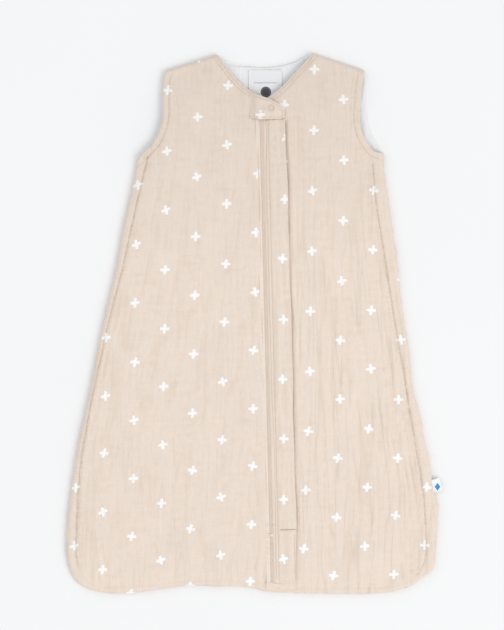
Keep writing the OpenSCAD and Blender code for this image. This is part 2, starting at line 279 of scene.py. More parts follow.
def cross_mask(t):
    """White crosses on a half-drop repeat, each turned and shifted a little by itself."""
    uv = t.nodes.new("ShaderNodeUVMap")
    uv.uv_map = "print"
    sep = t.nodes.new("ShaderNodeSeparateXYZ")
    t.links.new(uv.outputs[0], sep.inputs[0])
    a, b = sep.outputs[0], sep.outputs[1]
    ia = math_node(t, "FLOOR", math_node(t, "ADD", a, 0.5))
    ib = math_node(t, "FLOOR", math_node(t, "ADD", b, 0.5))
    da, db = math_node(t, "SUBTRACT", a, ia), math_node(t, "SUBTRACT", b, ib)
    cell = t.nodes.new("ShaderNodeCombineXYZ")
    t.links.new(ia, cell.inputs[0])
    t.links.new(ib, cell.inputs[1])
    rnd = t.nodes.new("ShaderNodeTexWhiteNoise")
    rnd.noise_dimensions = "3D"
    t.links.new(cell.outputs[0], rnd.inputs["Vector"])
    rs = t.nodes.new("ShaderNodeSeparateColor")
    t.links.new(rnd.outputs["Color"], rs.inputs[0])
    fine = noise_tex(t, uv_scaled(t, "flat", (1, 1, 1)), 420, 2)
    fine2 = noise_tex(t, uv_scaled(t, "flat", (1, 1, 1)), 380, 2, 0.5, 0.5)
    px = math_node(t, "MULTIPLY", math_node(t, "ADD", da, db), 37.2)
    py = math_node(t, "MULTIPLY", math_node(t, "SUBTRACT", da, db), 36.8)
    px = math_node(t, "ADD", px, math_node(t, "MULTIPLY_ADD", rs.outputs[1], 1.6, -0.8))
    py = math_node(t, "ADD", py, math_node(t, "MULTIPLY_ADD", rs.outputs[2], 1.6, -0.8))
    px = math_node(t, "ADD", px, math_node(t, "MULTIPLY_ADD", fine, 2.4, -1.2))
    py = math_node(t, "ADD", py, math_node(t, "MULTIPLY_ADD", fine2, 2.4, -1.2))
    ang = math_node(t, "MULTIPLY_ADD", rs.outputs[0], 0.5, -0.25)
    co, si = math_node(t, "COSINE", ang), math_node(t, "SINE", ang)
    rx = math_node(t, "ADD", math_node(t, "MULTIPLY", px, co), math_node(t, "MULTIPLY", py, si))
    ry = math_node(t, "SUBTRACT", math_node(t, "MULTIPLY", py, co), math_node(t, "MULTIPLY", px, si))
    ax, ay = math_node(t, "ABSOLUTE", rx), math_node(t, "ABSOLUTE", ry)
    arms = []
    for p, q in ((ax, ay), (ay, ax)):
        arms.append(math_node(
            t, "ADD",
            math_node(t, "POWER", math_node(t, "MULTIPLY", p, 1 / 5.85), 5),
            math_node(t, "POWER", math_node(t, "MULTIPLY", q, 1 / 1.82), 5)))
    f = math_node(t, "MINIMUM", arms[0], arms[1])
    r = t.nodes.new("ShaderNodeMapRange")
    r.inputs["From Min"].default_value = 1.5
    r.inputs["From Max"].default_value = 0.7
    t.links.new(f, r.inputs["Value"])
    return r.outputs[0]


def map_range(t, value, lo, hi, a, b):
    n = t.nodes.new("ShaderNodeMapRange")
    for k, v in (("From Min", lo), ("From Max", hi), ("To Min", a), ("To Max", b)):
        n.inputs[k].default_value = v
    t.links.new(value, n.inputs["Value"])
    return n.outputs[0]


def attribute(t, name):
    n = t.nodes.new("ShaderNodeAttribute")
    n.attribute_name = name
    return n.outputs["Fac"]


def seam_line(t, one):
    """The fine dark line where two panels are sewn together; "seam" is the distance to it, in mm."""
    wob = noise_tex(t, one, 95, 3, 0.6)
    d = math_node(t, "ADD", attribute(t, "seam"), math_node(t, "MULTIPLY_ADD", wob, 3.2, -1.6))
    line = map_range(t, math_node(t, "ABSOLUTE", d), 0.25, 1.05, 1, 0)
    gaps = map_range(t, noise_tex(t, one, 130, 2), 0.36, 0.56, 0.35, 1)
    return math_node(t, "MULTIPLY", line, gaps)


def fine_creases(t, y):
    """Sharp creases that run down the cloth; "lean" is how far across it they keep to, in m."""
    lean, amount = attribute(t, "lean"), attribute(t, "amount")
    lines = []
    for a, b, c, cut in ((105, 5.5, 0.0, 0.035), (62, 3.6, 5.0, 0.022)):
        at = t.nodes.new("ShaderNodeCombineXYZ")
        t.links.new(math_node(t, "MULTIPLY", lean, a), at.inputs[0])
        t.links.new(math_node(t, "MULTIPLY", y, b), at.inputs[1])
        at.inputs[2].default_value = c
        n = math_node(t, "ABSOLUTE", math_node(t, "SUBTRACT", noise_tex(t, at.outputs[0], 1.0, 1.0, 0.4), 0.5))
        where = t.nodes.new("ShaderNodeCombineXYZ")
        t.links.new(math_node(t, "MULTIPLY", lean, 38), where.inputs[0])
        t.links.new(math_node(t, "MULTIPLY", y, 11), where.inputs[1])
        where.inputs[2].default_value = c + 3
        on = map_range(t, noise_tex(t, where.outputs[0], 1.0, 1.0), 0.44, 0.58, 0, 1)
        lines.append(math_node(t, "MULTIPLY", map_range(t, n, 0.0, cut, 1, 0), on))
    both = math_node(t, "ADD", lines[0], lines[1], clamp=True)
    return math_node(t, "MULTIPLY", both, amount)


def cloth(name, base, crosses=False, pitch=0.8, depth=0.35, sheen=0.15, rough=0.93, contrast=1.0,
          shade_tint=(0.99, 0.94, 0.88), sewn=False):
    """Crinkled gauze: two sets of uneven threads, slubs and faint blotches, with painted shade in folds, creases and
    grooves, and painted shade that darkens the cloth towards the top.
    """
    m, t, p = new_material(name)
    one = uv_scaled(t, "flat", (1, 1, 1))
    k = 0.31416 / (pitch * MM)
    wx, wy = wave_tex(t, one, "X", k, 1.1), wave_tex(t, one, "Y", k, 1.1)
    weave = math_node(t, "ADD", math_node(t, "MULTIPLY", wx, 0.55), math_node(t, "MULTIPLY", wy, 0.45))
    slub_w = noise_tex(t, uv_scaled(t, "flat", (700, 45, 1)), 1.0, 3, 0.6)
    slub_f = noise_tex(t, uv_scaled(t, "flat", (38, 620, 1)), 1.0, 3, 0.6)
    slub = math_node(t, "ADD", math_node(t, "MULTIPLY", slub_w, 0.6), math_node(t, "MULTIPLY", slub_f, 0.4))
    puck = noise_tex(t, uv_scaled(t, "flat", (300, 110, 1)), 1.0, 3, 0.55, 0.6)
    blot = noise_tex(t, one, 21, 3, 0.55)
    att = t.nodes.new("ShaderNodeAttribute")
    att.attribute_name = "fold"
    tone = math_node(t, "MULTIPLY_ADD", slub, 0.19 * contrast, 1 - 0.095 * contrast)
    tone = math_node(t, "ADD", tone, math_node(t, "MULTIPLY_ADD", blot, 0.06, -0.03))
    length = t.nodes.new("ShaderNodeSeparateXYZ")
    t.links.new(one, length.inputs[0])
    # painted shade: the cloth is darkened towards the top of the bag (flat v from 0.07 to 0.30 m), as the light falls
    # from the lower right
    top_shade = t.nodes.new("ShaderNodeMapRange")
    top_shade.inputs["From Min"].default_value = 0.07
    top_shade.inputs["From Max"].default_value = 0.30
    top_shade.inputs["To Min"].default_value = 0.0
    top_shade.inputs["To Max"].default_value = -0.065
    t.links.new(length.outputs[1], top_shade.inputs["Value"])
    tone = math_node(t, "ADD", tone, top_shade.outputs[0])
    tone = math_node(t, "ADD", tone, math_node(t, "MULTIPLY_ADD", puck, 0.08 * contrast, -0.04 * contrast))
    tone = math_node(t, "ADD", tone, math_node(t, "MULTIPLY_ADD", weave, 0.05, -0.025))
    # painted shade: the colour is darkened towards a deeper, warmer copy of the base where the point attribute marks
    # crinkle hollows, creases and grooves
    deep = math_node(t, "MULTIPLY", att.outputs["Fac"], 0.55, clamp=True)
    dark = tuple(b * f for b, f in zip(base, (0.93 * shade_tint[0], 0.93 * shade_tint[1], 0.93 * shade_tint[2])))
    col = mix_rgb(t, deep, base, dark)
    if crosses:
        mask = cross_mask(t)
        col = mix_rgb(t, mask, col, (0.93, 0.925, 0.915))
    if sewn:
        line, crease = seam_line(t, one), fine_creases(t, length.outputs[1])
        tone = math_node(t, "SUBTRACT", tone, math_node(t, "MULTIPLY", line, 0.125))
        # painted shade: the tone is darkened along the fine creases
        tone = math_node(t, "SUBTRACT", tone, math_node(t, "MULTIPLY", crease, 0.065))
        tone = math_node(t, "ADD", tone, math_node(t, "MULTIPLY", attribute(t, "amount"), 0.015))
    grey = t.nodes.new("ShaderNodeCombineColor")
    for i in range(3):
        t.links.new(tone, grey.inputs[i])
    col = mix_rgb(t, 1.0, col, grey.outputs[0], "MULTIPLY")
    t.links.new(col, p.inputs["Base Color"])
    p.inputs["Roughness"].default_value = rough
    rr = math_node(t, "MULTIPLY_ADD", slub, 0.12, rough - 0.08)
    t.links.new(rr, p.inputs["Roughness"])
    p.inputs["Specular IOR Level"].default_value = 0.2
    p.inputs["Sheen Weight"].default_value = sheen
    p.inputs["Sheen Roughness"].default_value = 0.5
    h = math_node(t, "ADD", math_node(t, "MULTIPLY", weave, 0.25),
                  math_node(t, "ADD", math_node(t, "MULTIPLY", slub, 0.5), math_node(t, "MULTIPLY", puck, 0.9)))
    if crosses:
        h = math_node(t, "ADD", h, math_node(t, "MULTIPLY", mask, 0.12))
    if sewn:
        h = math_node(t, "SUBTRACT", h, math_node(t, "MULTIPLY", line, 1.3))
        h = math_node(t, "SUBTRACT", h, math_node(t, "MULTIPLY", crease, 1.2))
    t.links.new(bump_node(t, h, depth, 1.1 * MM), p.inputs["Normal"])
    return m


def ribbon(name, base, mark=None):
    """Fine satin ribbon, with a fine woven texture and, if asked, a printed mark."""
    m, t, p = new_material(name)
    one = uv_scaled(t, "flat", (1, 1, 1))
    wx = wave_tex(t, one, "X", 0.31416 / (0.5 * MM), 0.3)
    wy = wave_tex(t, one, "Y", 0.31416 / (0.35 * MM), 0.3)
    nz = noise_tex(t, one, 260, 3)
    tone = math_node(t, "MULTIPLY_ADD", nz, 0.06, 0.97)
    tone = math_node(t, "ADD", tone, math_node(t, "MULTIPLY_ADD", wx, 0.02, -0.01))
    col = tuple(base)
    if mark:
        uv = t.nodes.new("ShaderNodeUVMap")
        uv.uv_map = "flat"
        sep = t.nodes.new("ShaderNodeSeparateXYZ")
        t.links.new(uv.outputs[0], sep.inputs[0])
        col = mark(t, sep.outputs[0], sep.outputs[1], col, nz)
    grey = t.nodes.new("ShaderNodeCombineColor")
    for i in range(3):
        t.links.new(tone, grey.inputs[i])
    t.links.new(mix_rgb(t, 1.0, col, grey.outputs[0], "MULTIPLY"), p.inputs["Base Color"])
    t.links.new(math_node(t, "MULTIPLY_ADD", nz, 0.15, 0.5), p.inputs["Roughness"])
    p.inputs["Sheen Weight"].default_value = 0.1
    h = math_node(t, "ADD", math_node(t, "MULTIPLY", wx, 0.5), math_node(t, "MULTIPLY", wy, 0.5))
    t.links.new(bump_node(t, h, 0.2, 0.2 * MM), p.inputs["Normal"])
    return m


def hard(name, base, rough=0.35, metal=0.0, scale=900, vary=0.06, bump=0.1, coat=0.0):
    """Painted, moulded or pressed parts, with fine grain in the bump, random tone and noisy roughness."""
    m, t, p = new_material(name)
    tc = t.nodes.new("ShaderNodeTexCoord")
    nz = noise_tex(t, tc.outputs["Object"], scale, 3, 0.6)
    big = noise_tex(t, tc.outputs["Object"], scale * 0.18, 3, 0.55)
    tone = math_node(t, "MULTIPLY_ADD", big, vary * 2, 1 - vary)
    grey = t.nodes.new("ShaderNodeCombineColor")
    for i in range(3):
        t.links.new(tone, grey.inputs[i])
    t.links.new(mix_rgb(t, 1.0, tuple(base), grey.outputs[0], "MULTIPLY"), p.inputs["Base Color"])
    p.inputs["Metallic"].default_value = metal
    p.inputs["Coat Weight"].default_value = coat
    t.links.new(math_node(t, "MULTIPLY_ADD", nz, 0.22, rough - 0.1), p.inputs["Roughness"])
    t.links.new(bump_node(t, nz, bump, 0.08 * MM), p.inputs["Normal"])
    return m


TAN = (0.803, 0.688, 0.594)
WHITE = (0.905, 0.905, 0.905)
mat_outer = cloth("muslin_outer", TAN, crosses=True)
mat_front = cloth("muslin_front", TAN, crosses=True, sewn=True)
mat_plain = cloth("muslin_plain", TAN)
mat_lining = cloth("muslin_lining", WHITE, sheen=0.1, contrast=0.7, shade_tint=(1.0, 1.0, 1.0))
mat_tape = cloth("zip_tape_weave", (0.84, 0.73, 0.635), pitch=0.7, depth=0.3, sheen=0.05, rough=0.8)
mat_thread = hard("sewing_thread", (0.63, 0.52, 0.42), rough=0.75, scale=2500, vary=0.08, bump=0.3)
mat_dark = hard("sewing_thread_deep", (0.52, 0.42, 0.33), rough=0.75, scale=2500, vary=0.08, bump=0.3)
mat_coil = hard("zip_coil_nylon", (0.85, 0.745, 0.65), rough=0.5, scale=1800, vary=0.05, bump=0.08)
mat_slider = hard("zip_slider_enamel", (0.76, 0.64, 0.53), rough=0.32, scale=1400, vary=0.05, coat=0.2)
mat_stop = hard("zip_stop_enamel", (0.78, 0.67, 0.56), rough=0.4, scale=2400, vary=0.08, coat=0.1)
mat_snap = hard("snap_enamel", (0.66, 0.545, 0.44), rough=0.35, scale=1600, vary=0.05, coat=0.2)
mat_steel = hard("snap_steel", (0.70, 0.69, 0.67), rough=0.3, metal=1.0, scale=2600, vary=0.06)


# ---------------------------------------------------------------- mesh making
def loop_of(nu, nv):
    """The grid's border as one loop of indices, anticlockwise."""
    a = [i for i in range(nu)]
    b = [(j + 1) * nu - 1 for j in range(1, nv)]
    c = [(nv - 1) * nu + i for i in range(nu - 2, -1, -1)]
    d = [j * nu for j in range(nv - 2, 0, -1)]
    return np.array(a + b + c + d)


def make_mesh(name, verts, faces, mats, face_mats=None, flat=None, prints=None, fold=None):
    me = bpy.data.meshes.new(name)
    me.from_pydata((np.asarray(verts) * MM).tolist(), [], faces)
    for m in mats:
        me.materials.append(m)
    if face_mats is not None:
        me.polygons.foreach_set("material_index", np.asarray(face_mats, np.int32))
    me.polygons.foreach_set("use_smooth", np.ones(len(me.polygons), bool))
    loops = np.empty(len(me.loops), np.int32)
    me.loops.foreach_get("vertex_index", loops)
    for layer, co in (("flat", flat if flat is not None else np.asarray(verts)[:, :2] * MM),
                      ("print", prints)):
        if co is None:
            continue
        me.uv_layers.new(name=layer)
        me.uv_layers[layer].data.foreach_set("uv", np.asarray(co, np.float32)[loops].ravel())
    if fold is not None:
        # the per-point amount of painted shade in folds, creases and grooves, for the cloth material
        at = me.attributes.new("fold", "FLOAT", "POINT")
        at.data.foreach_set("value", np.asarray(fold, np.float32))
    me.update()
    o = bpy.data.objects.new(name, me)
    bpy.context.collection.objects.link(o)
    return o


def quads(nu, nv, start=0, flip=False):
    i, j = np.meshgrid(np.arange(nu - 1), np.arange(nv - 1))
    a = (j * nu + i).ravel() + start
    q = np.stack([a, a + 1, a + nu + 1, a + nu], 1)
    return q[:, ::-1] if flip else q


def closed(name, p, top, under, mats, swell=0.6, prints=None, fold=None, wall=(0, 0), flat=None,
           sewn=None):
    """A sheet with two faces and a rounded edge. p is the grid of x, y; top and under are heights."""
    nv, nu = p.shape[:2]
    n = nu * nv
    xy = p.reshape(-1, 2)
    ring = loop_of(nu, nv)
    q = xy[ring]
    tang = np.roll(q, -1, 0) - np.roll(q, 1, 0)
    out = np.stack([tang[:, 1], -tang[:, 0]], 1) / np.maximum(np.linalg.norm(tang, axis=1), 1e-9)[:, None]
    t, u = top.ravel(), under.ravel()
    k = len(ring)
    levels, rings = (0.18, 0.5, 0.82), []
    for f in levels:
        push = swell * math.sin(math.pi * f) ** 0.7
        z = t[ring] * (1 - f) + u[ring] * f
        rings.append(np.c_[q + out * push, z])
    verts = np.concatenate([np.c_[xy, t], np.c_[xy, u]] + rings)
    faces = [quads(nu, nv), quads(nu, nv, n, True)]
    fm = [np.zeros(len(faces[0])), np.ones(len(faces[1]))]
    chain = [ring] + [2 * n + k * i + np.arange(k) for i in range(len(levels))] + [ring + n]
    for i in range(len(chain) - 1):
        a, b = chain[i], chain[i + 1]
        faces.append(np.stack([a, b, np.roll(b, -1), np.roll(a, -1)], 1))
        fm.append(np.where(sewn[ring], 1, 0) if sewn is not None and i < 2
                  else np.full(k, wall[0] if i < 2 else wall[1]))
    idx = np.concatenate([np.arange(n), np.arange(n)] + [ring] * len(levels))
    fl = (xy if flat is None else flat)[idx] * MM
    pr = None if prints is None else prints[idx]
    fo = None if fold is None else fold.ravel()[idx]
    o = make_mesh(name, verts, np.concatenate(faces).tolist(), mats,
                  np.concatenate(fm), fl, pr, fo)
    o["grid"] = [nu, nv]
    return o


def grid_area(p):
    a = p[:-1, :-1]
    b, c, d = p[:-1, 1:], p[1:, 1:], p[1:, :-1]

    def tri(x, y, z):
        return np.abs((y - x)[..., 0] * (z - x)[..., 1] - (y - x)[..., 1] * (z - x)[..., 0]) / 2
    return float((tri(a, b, c) + tri(a, c, d)).sum()) * 1e-6


def bead(nr=6, nl=5, power=0.8):
    """A small rounded bar along x, unit half-sizes, as verts and faces."""
    v, f = [], []
    for i in range(nl):
        s = -1 + 2 * i / (nl - 1)
        s = math.copysign(abs(s) ** 0.8, s)
        r = max(0.0, 1 - abs(s) ** 2.6) ** 0.5
        r = max(r, 0.18)
        for j in range(nr):
            a = 2 * math.pi * j / nr
            v.append((s, r * math.cos(a), r * math.sin(a)))
    for i in range(nl - 1):
        for j in range(nr):
            k = (j + 1) % nr
            f.append((i * nr + j, (i + 1) * nr + j, (i + 1) * nr + k, i * nr + k))
    f.append(tuple(range(nr)))
    f.append(tuple((nl - 1) * nr + j for j in range(nr - 1, -1, -1)))
    return np.array(v), f


def beads(name, centres, dirs, half, mat, nr=6, nl=5, up=None):
    """One mesh of many small rounded bars, such as stitches or zip teeth."""
    bv, bf = bead(nr, nl)
    c = np.asarray(centres, float)
    d = np.asarray(dirs, float)
    d = d / np.linalg.norm(d, axis=1)[:, None]
    w = np.tile([0.0, 0.0, 1.0], (len(c), 1)) if up is None else up
    s = np.cross(w, d)
    s /= np.maximum(np.linalg.norm(s, axis=1), 1e-9)[:, None]
    w = np.cross(d, s)
    hx, hy, hz = half
    v = (c[:, None] + bv[None, :, 0:1] * hx * d[:, None] + bv[None, :, 1:2] * hy * s[:, None]
         + bv[None, :, 2:3] * hz * w[:, None]).reshape(-1, 3)
    nb = len(bv)
    faces = [tuple(x + i * nb for x in f) for i in range(len(c)) for f in bf]
    return make_mesh(name, v, faces, [mat], flat=v[:, :2] * MM)


class Heights:
    """Looks up a grid's height at any point, from its nearest grid points."""

    def __init__(self, p, z):
        q = p.reshape(-1, 2)
        self.z = z.ravel()
        self.tree = KDTree(len(q))
        for i, (x, y) in enumerate(q.tolist()):
            self.tree.insert((x, y, 0.0), i)
        self.tree.balance()

    def at(self, q):
        out = []
        for x, y in np.atleast_2d(q).tolist():
            w = h = 0.0
            for _, i, d in self.tree.find_n((x, y, 0.0), 4):
                k = 1 / (d * d + 0.05)
                w += k
                h += k * self.z[i]
            out.append(h / w)
        return np.array(out)


def stitch_row(name, line, heights, pitch=3.2, length=2.2, r=0.4, lift=0.05, mat=None):
    """A row of stitches lying along a line on a surface."""
    s = lengths(line)
    c = np.arange(pitch, s[-1] - pitch * 0.5, pitch)
    a = np.stack([np.interp(c - length / 2, s, line[:, k]) for k in range(2)], 1)
    b = np.stack([np.interp(c + length / 2, s, line[:, k]) for k in range(2)], 1)
    za, zb = heights.at(a), heights.at(b)
    mid = np.c_[(a + b) / 2, (za + zb) / 2 + lift]
    return beads(name, mid, np.c_[b - a, zb - za], (length / 2, r, r * 0.8), mat or mat_thread)


def offset(line, d):
    """The line moved d to its left."""
    t = np.gradient(line, axis=0)
    t /= np.maximum(np.linalg.norm(t, axis=1), 1e-9)[:, None]
    return line + np.stack([-t[:, 1], t[:, 0]], 1) * d


# ---------------------------------------------------------------- the print's repeat
def print_left(q):
    x, y = q[:, 0] / 100, q[:, 1] / 100
    c = 6.01 + 2.62 * x - 0.046 * y - 0.003 * x * y - 0.04 * x * x
    r = 8.09 + 0.11 * x - 2.73 * y - 0.10 * x * x + 0.01 * y * y
    return np.stack([(c + r + 1) / 2, (c - r - 1) / 2], 1)


def print_right(q):
    pull = np.exp(-((q[:, 0] - 35.7) ** 2 + (q[:, 1] - 273.3) ** 2) / 18 ** 2)[:, None]
    q = q - pull * [1.75, -3.75]
    x, y = q[:, 0] / 100, q[:, 1] / 100
    c = 6.19 + 2.565 * x - 0.06 * y + 0.005 * x * y + 0.041 * x * x + 0.007 * y * y
    r = 7.27 + 0.24 * x - 2.67 * y - 0.015 * x * y - 0.078 * x * x + 0.01 * y * y
    return np.stack([(c + r + 1) / 2, (c - r - 1) / 2], 1)


def print_placket(q):
    c = 7 + (q[:, 0] - 35.1 - 3.6 * smooth((q[:, 1] - 90) / 120)) / 37
    r = 8.15 - 2.665 * q[:, 1] / 100
    return np.stack([(c + r + 1) / 2, (c - r - 1) / 2], 1)


# ---------------------------------------------------------------- heights of the cloth
FULL = 11.6          # the front's highest general level
CLOTH = 1.8          # outer and lining together
rim_line = join(side_l, hem, side_r)
sew_l = curve([[-134, 208], [-147, 155], [-164.5, 75], [-182.5, 4], [-198.5, -68], [-212.5, -139],
               [-220.5, -200], [-223, -252], [-223, -296], [-212, -320], [-197, -330]])
sew_r = curve([[147, 200], [151, 154], [158.5, 105], [166.5, 54], [174.5, 3], [180.5, -33], [186.5, -64],
               [192.5, -105], [197.5, -133], [202.5, -164], [207, -190], [211, -220], [214, -275],
               [209, -305], [190, -324], [170, -330]])
sew_hem = curve([[-197, -330], [-137, -329], [-81, -322], [-19, -323], [12, -329], [47, -331],
                 [100, -332], [170, -330]])


def quarter(t):
    t = np.clip(t, 0, 1)
    return np.sqrt(1 - (1 - t) ** 2)


def deficit(d, z0, z1, r, reach):
    z = z0 + (z1 - z0) * quarter(d / r) + (FULL - z1) * smooth((d - 0.4 * r) / reach)
    return np.maximum(FULL - z, 0)


def pucker(q, line, lam, seed, width=7.0):
    d, s = near(q, line)
    r = np.random.RandomState(seed)
    ph = np.interp(s, np.linspace(0, s.max() + 1, 60), np.cumsum(r.uniform(0.6, 1.4, 60)) * 1.0)
    wave = np.cos(2 * math.pi * s / lam + ph * 2)
    return d, s, wave * np.exp(-(d / width) ** 2)


def strip_edge(down):
    """How far right of the zip the placket strip's free edge runs."""
    return (30.6 - 2.0 * smooth((140 - down) / 120) - 2.5 * smooth((down - 520) / 70)
            + 0.5 * np.sin(down / 37) + 0.3 * np.sin(down / 13 + 1))


def front_heights(p, right):
    q = p.reshape(-1, 2)
    x, y = q[:, 0], q[:, 1]
    nv, nu = p.shape[:2]
    uu = np.tile(np.linspace(0, 1, nu), nv)
    d_rim, s_rim = near(q, side_r if right else side_l)
    d_hem, _ = near(q, hem)
    d_arm, _ = near(q, arm_r if right else arm_l)
    sh = np.concatenate([neck_tip_r, shoulder_r]) if right else np.concatenate([neck_tip_l, shoulder_l])
    d_sh, _ = near(q, sh)
    d_neck, _ = near(q, neck_front_r if right else neck_front_l)
    across = (q - TOP) @ ACROSS
    d_zip = np.abs(across) - (4.6 if right else 2.75)
    parts = [deficit(d_rim, 6.6, 9.9, 5.5, 44), deficit(d_hem, 5.8, 9.6, 5.5, 26),
             deficit(d_arm, 8.9, 10.5, 2.5, 16), deficit(d_sh, 5.8, 9.0, 4.5, 42),
             deficit(d_neck, 10.3, 11.1, 2.0, 9), deficit(np.maximum(d_zip, 0), 10.7, 11.4, 1.6, 5)]
    low = sum(a ** 4 for a in parts) ** 0.25
    z = FULL - low
    calm = smooth(d_rim / 14) * smooth(d_sh / 16) * smooth(d_neck / 10) * smooth(d_zip / 9)
    calm = 0.25 + 0.75 * calm
    seed = 40 if right else 10
    # loft, then crinkles that run down the cloth and fan out with it
    z = z + 0.55 * calm * waves(x, y, 95, 150, seed) * smooth(d_rim / 30) * smooth(d_hem / 30)
    # the crinkles follow the side seam more, the nearer they are to it
    line = (sew_r if right else sew_l)
    order = np.argsort(line[:, 1])
    side_x = np.interp(np.clip(y, -215, 200), line[order, 1], line[order, 0])
    lean = smooth((across - 30) / 150) if right else smooth((-across - 20) / 170)
    s = x - (side_x - (150 if right else -150)) * lean * (0.55 if right else 0.8)
    gather = smooth((60 - d_rim) / 60)
    if right:
        down = smooth((250 - y) / 260)
        a_fold = (0.07 + 0.215 * down * (0.45 + 0.55 * smooth((across - 20) / 60))) * (1 + 0.8 * gather)
        big = waves(s, y, 19, 420, seed + 1, 36, 0.25)
        cut = waves(s, y, 21, 300, seed + 2, 36, 0.3)
        come = smooth(0.5 + 0.55 * waves(x, y, 60, 130, seed + 6, 20))
        sharp = -hump(cut, 0.1, 0.42) * come
        fine = waves(s, y, 8.5, 130, seed + 3, 36, 0.25)
        crinkle = 0.26 * a_fold * big + (0.20 + 2.0 * a_fold) * sharp + 0.05 * fine
    else:
        a_fold = (0.10 + 0.16 * gather) * (0.55 + 0.45 * smooth((230 - y) / 150))
        big = waves(s, y, 17, 300, seed + 1, 36, 0.25)
        cut = waves(s, y, 30, 200, seed + 2, 36, 0.3)
        come = smooth(0.5 + 0.6 * waves(x, y, 50, 90, seed + 6, 20))
        sharp = -hump(cut, 0.1, 0.40) * come
        fine = waves(s, y, 7.5, 110, seed + 3, 36, 0.25)
        crinkle = 0.5 * a_fold * big + (0.20 + 2.1 * a_fold) * sharp + 0.05 * fine
    level = waves(y, x, 34, 95, seed + 7, 36, 0.35)
    crinkle = crinkle - 0.27 * hump(level, 0.1, 0.36) * smooth(0.35 + 0.6 * waves(x, y, 45, 60, seed + 8, 20))
    crinkle = crinkle + 0.05 * waves(y, x, 11, 70, seed + 3, 30)
    # faint creases across, where the bag was folded
    crease = np.zeros(len(q))
    for k, (cy, slope, amp) in enumerate(((171, 0.02, 0.5), (97, 0.05, 0.35), (24, 0.06, 0.45),
                                          (-14, 0.0, 0.4), (-120, -0.02, 0.45), (-232, 0.01, 0.4))):
        far = y - cy - slope * x - 2.5 * np.sin(x / 23 + k)
        on = 0.4 + 0.6 * smooth(0.5 + 0.5 * waves(x, y * 0 + k, 120, 900, seed + 5 + k, 12))
        crease += -0.7 * amp * on * hump(far, 0, 2.2) + 0.35 * amp * on * hump(far, 5, 5)
    if right:   # the deep gathers beside the seam
        for k, (line, amp) in enumerate((
                ([[196, -125], [205, -161], [208.5, -202], [204, -233], [208, -264], [211, -296]], 0.95),
                ([[177.5, -85], [181, -133], [177.5, -173], [171, -217], [167, -252]], 0.6),
                ([[162.5, -118], [164.5, -164], [159, -202], [157, -244]], 0.5),
                ([[147, 176], [153, 110], [157, 60], [164, -20], [172, -70]], 0.6),
                ([[128, -30], [132, -95], [129, -150], [124, -196]], 0.4),
                ([[199, -205], [194, -240], [198, -270], [194, -300]], 0.6),
                ([[56, -309], [75, -310.5], [94, -309]], 0.5), ([[24, -272], [40, -276], [60, -274]], 0.4),
                ([[103, 20], [107, -40], [104, -92]], 0.35), ([[78, -60], [84, -140], [80, -215]], 0.35))):
            c = curve(line)
            dc, sc = near(q, c)
            ends = smooth(sc / 25) * smooth((lengths(c)[-1] - sc) / 25)
            crease += 0.6 * amp * ends * (-hump(dc, 0, 1.5) + 0.5 * hump(dc, 4.0, 2.4))
    else:
        for k, (line, amp) in enumerate((
                ([[-95, 120], [-98, 40], [-96, -30]], 0.35), ([[-60, 10], [-64, -90], [-62, -160]], 0.3),
                ([[-140, -60], [-146, -140], [-143, -220]], 0.35), ([[-20, 150], [-24, 70], [-22, 0]], 0.3),
                ([[-206, -175], [-212, -230], [-209, -290]], 0.6), ([[-176, 5], [-190, -70], [-203, -130]], 0.35))):
            c = curve(line)
            dc, sc = near(q, c)
            ends = smooth(sc / 25) * smooth((lengths(c)[-1] - sc) / 25)
            crease += amp * ends * (-hump(dc, 0, 1.7) + 0.5 * hump(dc, 4.0, 2.4))
    z = z + calm * (crinkle + crease)
    # puckered seams
    groove = np.zeros(len(q))
    rows = [(sew_r if right else sew_l, 0.95 if right else 1.3, 1.3, 6.2, 0.55, 7.5), (sew_hem, 0.5, 1.5, 7.4, 0.22, 6.0)]
    for k, (line, deep, wide, lam, amp, reach) in enumerate(rows):
        d, _, wave = pucker(q, line, lam, seed + 20 + k, reach)
        fade = smooth((y + 322) / 50) if k == 0 else 0.6
        groove += fade * (-deep * hump(d, 0, wide) + 0.45 * deep * hump(d, 2.2 * wide, wide))
        z = z + amp * wave * fade
    for line, off, lam, amp in ((arm_r if right else arm_l, 7.5, 6.5, 0.26),
                                (neck_front_r if right else neck_front_l, 2.4, 5.0, 0.2),
                                (neck_front_r if right else neck_front_l, 6.0, 5.5, 0.22)):
        d, s2 = near(q, line)
        groove += -0.62 * hump(d, off, 1.1) + 0.24 * hump(d, off + 2.2, 1.3)
        z = z + amp * np.cos(2 * math.pi * s2 / lam + 3 * np.sin(s2 / 17)) * np.exp(-((d - off) / 5) ** 2)
    groove += -0.40 * hump(d_zip, 2.4, 0.9)
    if not right:
        groove += -0.30 * hump(d_zip, 3.6, 0.8)
    z = z + 0.15 * np.cos(2 * math.pi * y / 6.1 + 2 * np.sin(y / 31)) * np.exp(-((d_zip - 2.4) / 6) ** 2)
    z = z + groove
    if right:   # lies flat beneath the placket strip, with a crease along its free edge
        under = smooth((38 - across) / 5) * smooth((262 - y) / 8)
        z = np.minimum(z, 12.3 - 0.9 * under)
        d_free = across - strip_edge((q - TOP) @ DOWN)
        beside = smooth((256 - y) / 4) * smooth((y + 330) / 10)
        wide = 1.6 + 1.2 * smooth((y - 130) / 100)
        dip = beside * hump(d_free, 0.2, wide)
        z = z - 0.95 * dip + 0.35 * beside * hump(d_free, 5.5, 3.0)
        # painted shadow: beneath the strip's free edge the colour alone is darkened further, as this groove is no
        # longer added to the height
        groove = groove - 0.75 * dip * (0.55 + 0.45 * smooth((y + 262) / 6))
    top = np.clip(z, None, 13.6)
